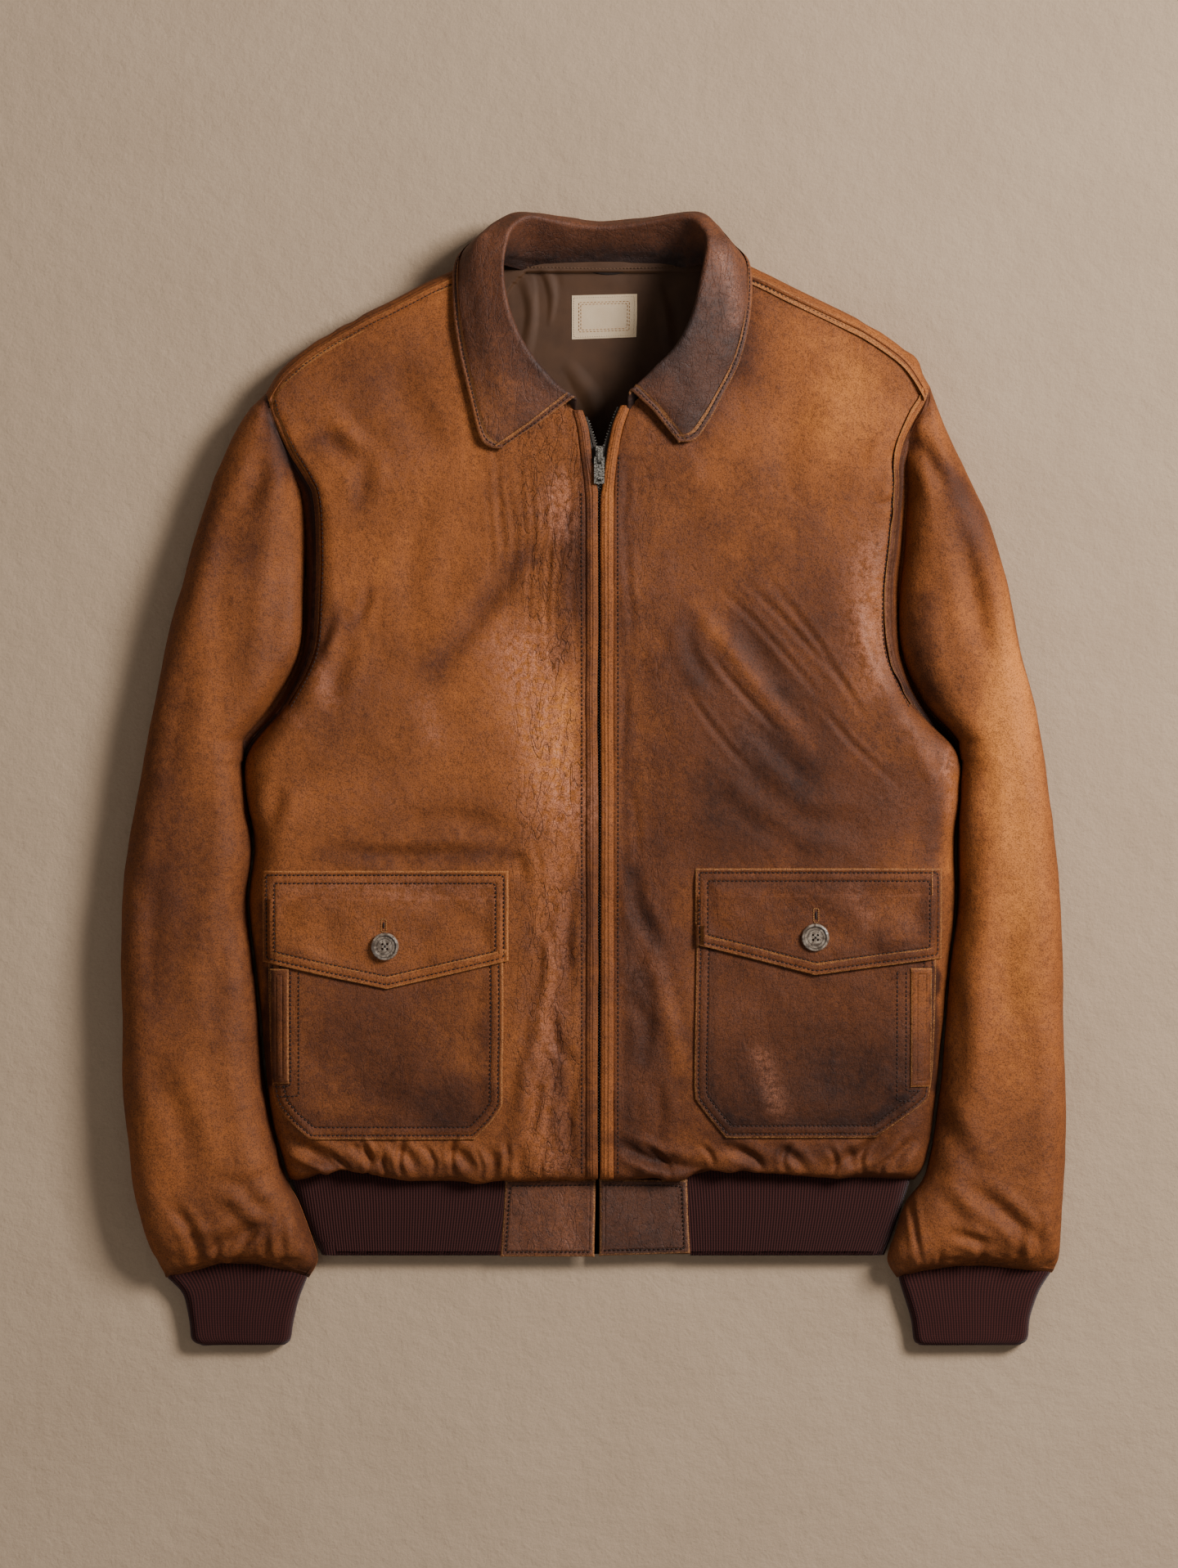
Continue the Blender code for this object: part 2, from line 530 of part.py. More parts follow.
def zipTape(name, inner, side, centre_height, look):
    """One tape with the closed bead that carries its teeth."""
    rings = []
    for u, v in along(inner, [0, 0.06, 0.12, 0.2, 0.35, 0.6, 1, 1.5, 2, 2.5, 3, 3.5, 4, 4.5, 5]):
        x, y = plan([(u, v)])[0]
        z = centre_height(y) + STRIP_PROUD - STRIP_THICK - 0.4
        line = [(0, z), (2.0, z), (2.0, z - 0.7), (11, z - 0.7), (11, z - 1.5), (0, z - 1.5)]
        rings.append(np.array([(x + side * r, y, h) for r, h in line]))
    return tube(name, rings, look)


def block(b, low, high):
    """A box in the mesh b, in mm."""
    made = bmesh.ops.create_cube(b, size=1)["verts"]
    for v in made:
        v.co = [lo + (hi - lo) * (c + 0.5) for c, lo, hi in zip(v.co, low, high)]


def joined(name, look, boxes, cutters, bevel=0.0):
    """Boxes united and cut, all in mm."""
    def body(label, low, high, hidden):
        b = bmesh.new()
        block(b, np.array(low) * MM, np.array(high) * MM)
        mesh = bpy.data.meshes.new(label)
        b.to_mesh(mesh)
        b.free()
        o = bpy.data.objects.new(label, mesh)
        bpy.context.scene.collection.objects.link(o)
        if hidden:
            o.hide_render = True
            o.display_type = "WIRE"
        else:
            mesh.materials.append(look)
        return o

    first = body(name, *boxes[0], False)
    for k, (low, high) in enumerate(boxes[1:]):
        m = first.modifiers.new("join", "BOOLEAN")
        m.operation, m.solver = "UNION", "EXACT"
        m.object = body(f"{name}_join_{k}", low, high, True)
    for k, (low, high) in enumerate(cutters):
        m = first.modifiers.new("cut", "BOOLEAN")
        m.operation, m.solver = "DIFFERENCE", "EXACT"
        m.object = body(f"{name}_cut_{k}", low, high, True)
    if bevel:
        m = first.modifiers.new("edge", "BEVEL")
        m.width, m.segments = bevel * MM, 1
        m.limit_method = "ANGLE"
    return first


def slider(look, x, z):
    """Slider body between the two strips, with a bridge that holds the pull."""
    y_top, y_low = (MIDDLE_V - SLIDER_V[0]) / UNITS_PER_MM, (MIDDLE_V - SLIDER_V[1]) / UNITS_PER_MM
    boxes = [((x - 2.6, y_low, z - 3.6), (x + 2.6, y_top, z)),
             ((x - 1, y_low + 0.8, z - 1), (x + 1, y_low + 10, z + 3.4))]
    cutters = [((x - 3, y_low + 2.8, z), (x + 3, y_low + 8, z + 2.5))]
    return joined("zip_slider", look, boxes, cutters)


def pull(look, x, z):
    """The pull: a bar under the bridge, two arms beside it and a plate with a small slot."""
    bar_y = (MIDDLE_V - SLIDER_V[1]) / UNITS_PER_MM + 4.1
    end_y = (MIDDLE_V - PULL_END_V) / UNITS_PER_MM
    bar_z = z + 1.25
    rings = []
    for k in range(2):
        rings.append(np.array([(x + (-3.7, 3.7)[k], bar_y + PULL_BAR * math.cos(a), bar_z + PULL_BAR * math.sin(a))
                               for a in np.linspace(0, 2 * math.pi, 13)[:-1]]))
    bar = tube("zip_pull_bar", rings, look)
    bar.hide_render = True
    bar.display_type = "WIRE"
    plate = joined("zip_pull", look, [((x - 3.7, end_y, bar_z - 0.6), (x + 3.7, bar_y, bar_z + 0.6))],
                   [((x - 1.6, bar_y - 4.9, bar_z - 1), (x + 1.6, bar_y + 1, bar_z + 1)),
                    ((x - 1.5, end_y + 1.6, bar_z - 1), (x + 1.5, end_y + 3.4, bar_z + 1))])
    m = plate.modifiers.new("bar", "BOOLEAN")
    m.operation, m.solver, m.object = "UNION", "EXACT", bar
    pivot = Vector((x * MM, bar_y * MM, bar_z * MM))
    plate.data.transform(Matrix.Translation(-pivot))
    plate.location = pivot
    return plate


def button(name, place, height, gap, look):
    """A sewn-through button: a dished disc with a rim and four holes."""
    x, y = plan([place])[0]
    around = [(x + 9 * math.cos(a), y + 9 * math.sin(a)) for a in np.linspace(0, 2 * math.pi, 13)]
    z = max(height(p) for p in around + [(x, y)]) + gap
    r = BUTTON_ACROSS / 2
    line = [(r - 0.9, 0), (r, 1.1), (r - 0.5, 2.6), (r - 1.8, 3.0), (r - 3.0, 2.0)]
    rings = [np.array([(x + d * math.cos(a), y + d * math.sin(a), z + h)
                       for a in np.linspace(0, 2 * math.pi, 25)[:-1]]) for d, h in line]
    disc = tube(name, rings, look)
    for k, (sx, sy) in enumerate(((1, 1), (-1, 1), (-1, -1), (1, -1))):
        hole = [np.array([(x + sx * 1.7 + 0.9 * math.cos(a), y + sy * 1.7 + 0.9 * math.sin(a), z + h)
                          for a in np.linspace(0, 2 * math.pi, 9)[:-1]]) for h in (-2, 5)]
        cutter = tube(f"{name}_hole_{k}", hole, look)
        cutter.hide_render = True
        cutter.display_type = "WIRE"
        m = disc.modifiers.new("hole", "BOOLEAN")
        m.operation, m.solver, m.object = "DIFFERENCE", "EXACT", cutter
    return disc


def waistRib(look):
    """The knit band: from one tab over the front, round under the back and up to the other tab."""
    rows = along([(617.8, 356, 1114, 840, 1446, 17.4), (616, 366, 1104, 841.3, 1474, 16.6),
                  (614, 378, 1094, 842.6, 1504, 15.4), (611.8, 391.5, 1083, 844, 1534, 13.6)], [0, 0.7, 1.5, 2.3, 3])
    grid = []
    for u1, u2, u3, u4, v, top in rows:
        (x1, y), (x2, _), (x3, _), (x4, _) = plan([(u1, v), (u2, v), (u3, v), (u4, v)])
        y = min(y, (MIDDLE_V - 1443.5) / UNITS_PER_MM)
        a = 9.0
        turn = np.linspace(0.5 * math.pi, -0.5 * math.pi, 8)
        line = [(x, top) for x in np.linspace(x1, x2 + a, 6)[:-1]]
        line += [(x2 + a - a * math.cos(t), top / 2 * (1 + math.sin(t))) for t in turn]
        line += [(x, 0) for x in np.linspace(x2 + a, x3 - a, 8)[1:-1]]
        line += [(x3 - a + a * math.cos(t), top / 2 * (1 + math.sin(t))) for t in turn[::-1]]
        line += [(x, top) for x in np.linspace(x3 - a, x4, 6)[1:]]
        grid.append([(x, y, z) for x, z in line])
    return shell("waist_rib", np.array(grid), RIB_THICK, look, False, (SEAM, 0, SEAM, SEAM))


def tab(name, corners, look):
    """A leather tab at the end of the waist band."""
    (a, b), (c, d) = plan(corners)
    grid = []
    for f in np.linspace(0, 1, 4):
        left, right = a + (c - a) * f, b + (d - b) * f
        top = 18.6 - 3.6 * f
        grid.append([(*(left + (right - left) * g), top) for g in np.linspace(0, 1, 4)])
    outer = trimmed(np.array(grid), SEAM, 0, SEAM, SEAM)
    return wall(name, outer, outer - (0, 0, TAB_THICK), look)


def cuff(name, spec, look):
    """A knit cuff: a flattened tube from the sleeve's end."""
    heights = [15.5, 15, 14.5, 13.5, 12]
    grid = []
    for (inner, outer), top in zip(spec, heights):
        p, q = plan([inner, outer])
        width = np.linalg.norm(q - p)
        way = (q - p) / width
        middle = (p + q) / 2
        a = top * 0.45
        ring = []
        for side in (1, -1):
            for t in np.linspace(-math.pi / 2, math.pi / 2, 7):
                r = side * (width / 2 - a + a * math.cos(t))
                ring.append((*(middle + way * r), top / 2 * (1 + side * math.sin(t))))
            for g in (0.66, 0.33, 0.0, -0.33, -0.66):
                ring.append((*(middle + way * side * (width / 2 - a) * g), top if side > 0 else 0))
        grid.append(ring)
    outer_grid = np.array(grid)
    outer_grid[0, :, 1] -= 1.5
    middle = outer_grid.mean(axis=1, keepdims=True)
    n = normals(outer_grid, True)
    n *= np.sign((n * (outer_grid - middle)).sum(2, keepdims=True))
    return wall(name, outer_grid, outer_grid - n * RIB_THICK, look, True)


def collar(look):
    """Stand and fall in one sheet: down each front, up the neck's sides and round the back."""
    stations = np.array(COLLAR_LEFT + [COLLAR_MIDDLE] + COLLAR_RIGHT[::-1], float)
    samples = [0, 1, 2, 3, 4, 4.5, 5, 5.5, 6, 6.5, 7, 7.5, 8, 9, 10, 11, 12, 12.5, 13, 13.5, 14, 14.5, 15,
               15.5, 16, 17, 18, 19, 20]
    rows = []
    for seam, roll, mid, edge in along(stations, samples):
        p = [solidPoints([q])[0] for q in (seam, roll, mid, edge)]
        rows.append(spaced(foldLine(*p), [0, 0.1, 0.2, 0.27, 0.31, 0.35, 0.39, 0.45, 0.6, 0.8, 1]))
    grid = np.array(rows)
    return shell("collar", grid, COLLAR_THICK, look, False, (0, 0, SEAM, 0))


def foldLine(seam, roll, mid, edge):
    """From the neck seam up to the roll line, round a soft fold and down the fall."""
    up = roll - seam
    up_length = np.linalg.norm(up)
    over = mid - roll
    over_length = np.linalg.norm(over)
    fold = min(5.0, 0.45 * up_length, 0.4 * over_length)
    a, b = roll - up / up_length * fold, roll + over / over_length * fold
    t = np.linspace(0, 1, 9)[:, None]
    bend = (1 - t) ** 2 * a + 2 * t * (1 - t) * (roll + (0, 0, 0.8)) + t ** 2 * b
    stand = seam + (a - seam) * np.linspace(0, 1, 6)[:-1, None]
    fall = along([b, b + (mid - b) * 0.5, mid, (mid + edge) / 2, edge], np.linspace(0, 4, 13)[1:])
    return np.concatenate((stand, bend, fall))


def backLining(height, look):
    rows = [(642, 824, 331), (628, 843, 344), (616, 854, 362), (614, 856, 400), (614, 856, 450),
            (640, 830, 500), (680, 790, 560)]
    grid = between([r[0] for r in rows], [r[1] for r in rows], [r[2] for r in rows], np.linspace(0, 1, 9))
    return lying("back_lining", grid, height, ON_BACK, LINING_THICK, look)


def neckLabel(height, look):
    rows = [[(699, 359), (739, 358), (779, 357)], [(699, 386), (739, 385), (779, 384)],
            [(699, 413), (738, 411.5), (778, 410)]]
    return lying("neck_label", rows, height, ON_BACK + LINING_THICK + 0.3, 0.6, look)


def hangerLoop(height, look):
    """A short cord sewn across the neck seam."""
    rings = []
    for f in np.linspace(0, 1, 9):
        u = 720 + 47 * f
        x, y = plan([(u, 328 + 4 * math.sin(math.pi * f))])[0]
        z = height((x, y)) + ON_BACK + LINING_THICK + LOOP_GAP + LOOP_RADIUS
        rings.append(np.array([(x, y + LOOP_RADIUS * math.cos(a), z + LOOP_RADIUS * math.sin(a))
                               for a in np.linspace(0, 2 * math.pi, 9)[:-1]]))
    return tube("hanger_loop", rings, look)


def main():
    clearScene()
    tan = material("leather_tan", (0.30, 0.12, 0.04), 0.5)
    dark = material("leather_collar", (0.16, 0.06, 0.03), 0.4)
    knit = material("rib_knit", (0.045, 0.015, 0.015), 0.9)
    satin = material("lining_cloth", (0.06, 0.035, 0.02), 0.6)
    woven = material("label_cloth", (0.65, 0.52, 0.35), 0.9)
    cord = material("loop_cord", (0.03, 0.02, 0.02), 0.7)
    tape = material("zip_tape", (0.25, 0.2, 0.15), 0.8)
    metal = material("zip_metal", (0.35, 0.28, 0.2), 0.4, 1.0)
    horn = material("button_horn", (0.3, 0.24, 0.19), 0.35)

    left = frontGrid(LEFT_CENTRE, LEFT_SIDE, shoulderLine(LEFT_SHOULDER, 0, 8), BODY_ROWS, 7, 5)
    right = frontGrid(RIGHT_CENTRE, RIGHT_SIDE, shoulderLine(RIGHT_SHOULDER, 16, 24), BODY_ROWS, 7, 5)
    shell("front_left", left, LEATHER, tan, True, (SEAM, 0.35, SEAM, SEAM), uprightEnd)
    shell("front_right", right, LEATHER, tan, False, (SEAM, 0.35, SEAM, SEAM), uprightEnd)
    _, back = backPanel(tan)
    sleeve("sleeve_left", LEFT_SIDE, LEFT_OUTER, LEFT_ARM, (-0.42, 0.91), tan)
    sleeve("sleeve_right", RIGHT_SIDE, RIGHT_OUTER, RIGHT_ARM, (0.42, 0.91), tan)
    cuff("cuff_left", LEFT_CUFF, knit)
    cuff("cuff_right", RIGHT_CUFF, knit)
    waistRib(knit)
    tab("waist_tab_left", (((619, 1444), (727, 1443)), ((613, 1536), (725, 1536))), dark)
    tab("waist_tab_right", (((734, 1443), (838.5, 1444)), ((734, 1535), (842.5, 1532))), dark)
    collar(dark)

    on_left, on_right = surfaceOf(left), surfaceOf(right)
    inside = surfaceOf(back + (0, 0, LEATHER))
    far_side = [1 - f for f in NEAR_SIDE[::-1]]
    pocket("pocket_left", LEFT_POCKET, on_left, tan, NEAR_SIDE)
    pocket("pocket_right", RIGHT_POCKET, on_right, tan, far_side)
    flap("flap_left", LEFT_FLAP, on_left, tan, NEAR_SIDE)
    flap("flap_right", RIGHT_FLAP, on_right, tan, far_side)
    welt("side_welt_left", LEFT_WELT, on_left, tan)
    welt("side_welt_right", RIGHT_WELT, on_right, tan)
    over = ON_PANEL + POCKET_THICK + 0.7 + FLAP_THICK + 0.4
    button("button_left", LEFT_BUTTON, on_left, over, horn)
    button("button_right", RIGHT_BUTTON, on_right, over, horn)

    def centreHeight(y):
        return float(np.interp(y, left[:, 0, 1], left[:, 0, 2]))

    zipEdge("zip_edge_left", LEFT_STRIP, centreHeight, tan)
    zipEdge("zip_edge_right", RIGHT_STRIP, centreHeight, tan)
    zipTape("zip_tape_left", [(731.5, 1424), (731.5, 1000), (731.5, 640), (731, 570), (728.5, 545), (718, 512)],
            -1, centreHeight, tape)
    zipTape("zip_tape_right", [(733.5, 1424), (733.5, 1000), (733.5, 640), (734.2, 570), (739, 543), (754, 500)],
            1, centreHeight, tape)
    slider_x = (SLIDER_U - MIDDLE_U) / UNITS_PER_MM
    slider_z = centreHeight((MIDDLE_V - SLIDER_V[1]) / UNITS_PER_MM) + STRIP_PROUD + 0.5
    slider(metal, slider_x, slider_z)
    pull(metal, slider_x, slider_z)

    backLining(inside, satin)
    neckLabel(inside, woven)
    hangerLoop(inside, cord)


main()
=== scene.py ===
import math

import bmesh
import bpy
import numpy as np
from mathutils.bvhtree import BVHTree
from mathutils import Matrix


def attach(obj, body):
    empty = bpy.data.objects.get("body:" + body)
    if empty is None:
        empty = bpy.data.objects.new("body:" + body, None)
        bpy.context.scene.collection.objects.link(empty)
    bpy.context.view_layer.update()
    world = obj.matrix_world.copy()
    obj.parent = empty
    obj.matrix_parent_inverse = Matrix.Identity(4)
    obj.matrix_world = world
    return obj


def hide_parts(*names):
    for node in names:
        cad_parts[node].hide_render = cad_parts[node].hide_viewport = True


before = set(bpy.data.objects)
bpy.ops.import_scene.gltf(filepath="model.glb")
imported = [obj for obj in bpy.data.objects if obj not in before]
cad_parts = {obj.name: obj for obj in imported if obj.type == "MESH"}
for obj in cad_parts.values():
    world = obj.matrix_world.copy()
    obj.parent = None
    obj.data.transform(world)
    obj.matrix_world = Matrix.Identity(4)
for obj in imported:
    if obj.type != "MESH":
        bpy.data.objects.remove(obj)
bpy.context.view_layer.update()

mm = 0.001
fine = 1.0

# the front view that the outlines are drawn in: u to the right, v down
drawing = dict(unitsPerMm=1.7, middleU=725.0, middleV=954.4)


def plan(points):
    a = np.array(points, float)
    return np.stack(((a[..., 0] - drawing["middleU"]) / drawing["unitsPerMm"],
                     (drawing["middleV"] - a[..., 1]) / drawing["unitsPerMm"]), -1)


def drawn(points):
    # drawing units of points in mm
    return np.stack((points[..., 0] * drawing["unitsPerMm"] + drawing["middleU"],
                     drawing["middleV"] - points[..., 1] * drawing["unitsPerMm"]), -1)


def along(stations, t):
    # smooth curve through the stations, read at station numbers t
    p = np.array(stations, float)
    t = np.clip(np.atleast_1d(np.array(t, float)), 0, len(p) - 1)
    i = np.minimum(t.astype(int), len(p) - 2)
    f = (t - i).reshape((-1,) + (1,) * (p.ndim - 1))
    p1, p2 = p[i], p[i + 1]
    m1 = (p2 - p[np.maximum(i - 1, 0)]) / 2
    m2 = (p[np.minimum(i + 2, len(p) - 1)] - p1) / 2
    f2, f3 = f * f, f * f * f
    return (2 * f3 - 3 * f2 + 1) * p1 + (f3 - 2 * f2 + f) * m1 + (3 * f2 - 2 * f3) * p2 + (f3 - f2) * m2


def ease(x):
    x = np.clip(x, 0, 1)
    return x * x * (3 - 2 * x)


def quarter(x):
    # quarter of a circle, from 0 to 1, upright at its start
    x = np.clip(x, 0, 1)
    return np.sqrt(1 - (1 - x) ** 2)


def bell(x, at, wide):
    return np.exp(-((x - at) / wide) ** 2)


def unit(a):
    return a / np.maximum(np.linalg.norm(a, axis=-1, keepdims=True), 1e-9)


def lengths(points):
    return np.concatenate(([0], np.cumsum(np.linalg.norm(np.diff(points, axis=0), axis=1))))


def widths(grid):
    # distance of each point of a grid along its row
    steps = np.linalg.norm(np.diff(grid, axis=1), axis=2)
    return np.cumsum(np.concatenate((np.zeros((len(grid), 1)), steps), 1), 1)


def flattened(points):
    # the same points at height 0
    return np.concatenate((points[..., :2], np.zeros(points.shape[:-1] + (1,))), -1)


def spaced(points, count):
    # the same line with evenly spaced points
    at = lengths(points)
    return np.column_stack([np.interp(np.linspace(0, at[-1], count), at, points[:, k]) for k in range(points.shape[1])])


def evenStations(makeGrid, first, last, step, samples=900):
    # station numbers that lie a step apart on the grid
    t = np.linspace(first, last, samples)
    g = makeGrid(t)
    s = np.concatenate(([0], np.cumsum(np.linalg.norm(np.diff(g, axis=0), axis=2).max(1))))
    return np.interp(np.linspace(0, s[-1], int(s[-1] / (step * fine)) + 2), s, t)


noiseTable = np.random.default_rng(7).uniform(-1, 1, 4096)


def softNoise(p, size, seed=0):
    # smooth noise from -1 to 1 at points p in mm
    q = p / size + seed * 13.7
    i = np.floor(q).astype(np.int64)
    f = ease(q - i)
    out = np.zeros(q.shape[:-1])
    for corner in range(8):
        o = np.array([corner & 1, corner >> 1 & 1, corner >> 2 & 1])
        k = i + o
        value = noiseTable[(k[..., 0] * 73856093 ^ k[..., 1] * 19349663 ^ k[..., 2] * 83492791) & 4095]
        out += value * np.prod(np.where(o, f, 1 - f), axis=-1)
    return out


def lineDistance(uv, line):
    # distance from points to a drawn line, and the share along it
    best = np.full(len(uv), 1e9)
    share = np.zeros(len(uv))
    line = np.array(line, float)
    at = lengths(line)
    for k in range(len(line) - 1):
        a, d = line[k], line[k + 1] - line[k]
        t = np.clip(((uv - a) @ d) / (d @ d), 0, 1)
        away = uv - (a + t[:, None] * d)
        distance = np.linalg.norm(away, axis=1)
        nearer = distance < best
        best[nearer] = distance[nearer]
        share[nearer] = ((at[k] + t * (at[k + 1] - at[k])) / at[-1])[nearer]
    return best, share


def folded(points, folds):
    # height that the listed folds add: (line, width in drawing units, height in mm, minus for a trough)
    uv = drawn(points).reshape(-1, 2)
    total = np.zeros(len(uv))
    for line, wide, height in folds:
        a = np.array(line, float)
        near = ((uv > a.min(0) - 4 * wide) & (uv < a.max(0) + 4 * wide)).all(1)
        if not near.any():
            continue
        distance, share = lineDistance(uv[near], along(a, np.linspace(0, len(a) - 1, 4 * len(a) - 3)))
        x = distance / wide
        taper = np.sin(math.pi * np.clip(share, 0.01, 0.99)) ** 0.7
        total[near] += height * taper * (np.exp(-x * x) - 0.45 * bell(x, 1.9, 0.9))
    return total.reshape(points.shape[:-1])


def blobs(points, spots):
    # soft spots added up: (u, v, half width, half height, turn in degrees, amount)
    uv = drawn(points).reshape(-1, 2)
    total = np.zeros(len(uv))
    for u, v, wide, tall, turn, amount in spots:
        c, s = math.cos(math.radians(turn)), math.sin(math.radians(turn))
        d = uv - (u, v)
        x, y = (d[:, 0] * c + d[:, 1] * s) / wide, (d[:, 1] * c - d[:, 0] * s) / tall
        total += amount * np.exp(-(x * x + y * y))
    return total.reshape(points.shape[:-1])


def upward(grid):
    # normals that point up at the grid's middle
    n = normals(grid)
    return n * np.sign(n[len(grid) // 2, grid.shape[1] // 2, 2])


def strokes(points, lines):
    # soft ragged strokes added up: (line, half width, amount)
    uv = drawn(points).reshape(-1, 2)
    uv = uv + 5 * np.stack((softNoise(points.reshape(-1, 3) * (1, 1, 0), 9.0, 15),
                            softNoise(points.reshape(-1, 3) * (1, 1, 0), 9.0, 16)), -1)
    total = np.zeros(len(uv))
    for line, wide, amount in lines:
        a = np.array(line, float)
        near = ((uv > a.min(0) - 3 * wide) & (uv < a.max(0) + 3 * wide)).all(1)
        if near.any():
            distance = lineDistance(uv[near], along(a, np.linspace(0, len(a) - 1, 4 * len(a) - 3)))[0]
            total[near] += amount * bell(distance, 0, wide)
    return total.reshape(points.shape[:-1])


def normals(grid, ring=False):
    across = np.roll(grid, -1, 1) - np.roll(grid, 1, 1) if ring else np.gradient(grid, axis=1)
    return unit(np.cross(across, np.gradient(grid, axis=0)))


def rounded(grid, normal, thick, sides, inset=6.0):
    # turns the free edges (top, bottom, left, right) round and under; also gives each point's source
    down = np.array([0, 0.15, 0.5, 0.85, 1, 1]) * thick
    out = np.array([0, 0.35, 0.5, 0.35, 0, -inset / thick]) * thick
    k = len(down) - 1
    top, bottom, left, right = [k if s else 0 for s in sides]
    rows, cols = grid.shape[:2]
    i, j = np.arange(-top, rows + bottom), np.arange(-left, cols + right)
    ci, cj = np.clip(i, 0, rows - 1), np.clip(j, 0, cols - 1)
    over = np.maximum(np.abs(i - ci)[:, None], np.abs(j - cj)[None, :])
    ahead = np.zeros(over.shape + (3,))
    rowStep, colStep = unit(np.gradient(grid, axis=0)), unit(np.gradient(grid, axis=1))
    source = np.ix_(ci, cj)
    ahead += rowStep[source] * np.sign(i - ci)[:, None, None]
    ahead += colStep[source] * np.sign(j - cj)[None, :, None]
    points = grid[source] - normal[source] * down[over][..., None] + unit(ahead) * out[over][..., None]
    return points, source


def gridObject(name, points, look, layers=None, ring=False, flip=False):
    # a smooth mesh from a grid of points in mm, with a value for each point in each layer
    rows, cols = points.shape[:2]
    index = np.arange(rows * cols).reshape(rows, cols)
    if ring:
        index = np.concatenate((index, index[:, :1]), 1)
    corners = (index[:-1, :-1], index[:-1, 1:], index[1:, 1:], index[1:, :-1])
    faces = np.stack(corners[::-1] if flip else corners, -1).reshape(-1, 4)
    mesh = bpy.data.meshes.new(name)
    mesh.vertices.add(rows * cols)
    mesh.vertices.foreach_set("co", (points.reshape(-1) * mm).astype(np.float32))
    mesh.loops.add(faces.size)
    mesh.loops.foreach_set("vertex_index", faces.reshape(-1).astype(np.int32))
    mesh.polygons.add(len(faces))
    mesh.polygons.foreach_set("loop_start", np.arange(0, faces.size, 4, dtype=np.int32))
    mesh.polygons.foreach_set("use_smooth", np.ones(len(faces), bool))
    for key, values in (layers or {}).items():
        mesh.attributes.new(key, "FLOAT", "POINT").data.foreach_set("value", values.reshape(-1).astype(np.float32))
    mesh.update(calc_edges=True)
    mesh.validate()
    mesh.materials.append(look)
    piece = bpy.data.objects.new(name, mesh)
    bpy.context.scene.collection.objects.link(piece)
    return piece


def shell(name, grid, n, look, layers, thick=1.4, sides=(1, 1, 1, 1), inset=6.0, flip=True, lowest=None):
    # a piece from its upper grid, with its edges turned under and its layers
    points, source = rounded(grid, n, thick, sides, inset)
    if lowest is not None:
        points[..., 2] = np.maximum(points[..., 2], lowest)
    return gridObject(name, points, look, {key: values[source] for key, values in layers.items()}, flip=flip)


def heightOf(grid):
    # reads the height of a grid from above
    rows, cols = grid.shape[:2]
    index = np.arange(rows * cols).reshape(rows, cols)
    faces = np.stack((index[:-1, :-1], index[:-1, 1:], index[1:, 1:], index[1:, :-1]), -1).reshape(-1, 4)
    tree = BVHTree.FromPolygons(grid.reshape(-1, 3).tolist(), faces.tolist())

    def height(x, y):
        hit = tree.ray_cast((float(x), float(y), 500.0), (0, 0, -1))[0]
        return hit.z if hit else 0.0

    return height


# looks


def colour(r, g, b):
    # linear colour from screen values up to 255
    return tuple(((c / 255 + 0.055) / 1.055) ** 2.4 if c > 10 else c / 255 / 12.92 for c in (r, g, b)) + (1,)


def make(tree, kind, inputs=None, **settings):
    n = tree.nodes.new("ShaderNode" + kind)
    n.location = (len(tree.nodes) * 190 - 1800, 0)
    for key, value in settings.items():
        setattr(n, key, value)
    for key, value in (inputs or {}).items():
        if isinstance(value, bpy.types.NodeSocket):
            tree.links.new(value, n.inputs[key])
        else:
            n.inputs[key].default_value = value
    return n


def calc(tree, operation, a, b=0.0, clamp=False):
    return make(tree, "Math", {0: a, 1: b}, operation=operation, use_clamp=clamp).outputs[0]


def blendColour(tree, amount, a, b, way="MIX"):
    return make(tree, "Mix", {0: amount, 6: a, 7: b}, data_type="RGBA", blend_type=way).outputs[2]


def stepUp(tree, value, low, high):
    # smooth step from 0 to 1
    return make(tree, "MapRange", {0: value, 1: low, 2: high, 3: 0.0, 4: 1.0}, interpolation_type="SMOOTHSTEP").outputs[0]


def millimetres(tree):
    place = make(tree, "TexCoord").outputs["Object"]
    return make(tree, "VectorMath", {0: place, 1: (1000, 1000, 1000)}, operation="MULTIPLY").outputs[0]


def speckle(tree, place, scale, detail=2.0, rough=0.5):
    return make(tree, "TexNoise", {"Vector": place, "Scale": scale, "Detail": detail, "Roughness": rough}).outputs["Fac"]


def group(name, inputs, outputs):
    tree = bpy.data.node_groups.new(name, "ShaderNodeTree")
    for label, kind in inputs:
        tree.interface.new_socket(label, in_out="INPUT", socket_type="NodeSocket" + kind)
    for label, kind in outputs:
        tree.interface.new_socket(label, in_out="OUTPUT", socket_type="NodeSocket" + kind)
    return tree, tree.nodes.new("NodeGroupInput"), tree.nodes.new("NodeGroupOutput")


# the pale pinkish leather colour is a painted sheen highlight
leather = dict(
    bright=colour(204, 124, 56), tan=colour(150, 85, 39), brown=colour(97, 52, 26), deep=colour(40, 20, 12),
    glossAndPaintedSheen=colour(198, 126, 92), worn=colour(214, 146, 84), pore=colour(32, 15, 9),
    roughest=0.7, smoothest=0.42)


def creaseLines(tree, place, scale, stretch, wide):
    # thin wandering lines, longer up and down than across
    tall = make(tree, "VectorMath", {0: place, 1: (1.0, stretch, 1.0)}, operation="MULTIPLY").outputs[0]
    noise = make(tree, "TexNoise", {"Vector": tall, "Scale": scale, "Detail": 2.0, "Roughness": 0.45, "Distortion": 0.5})
    away = calc(tree, "ABSOLUTE", calc(tree, "SUBTRACT", noise.outputs["Fac"], 0.5))
    return calc(tree, "SUBTRACT", 1.0, stepUp(tree, away, 0.0, wide))


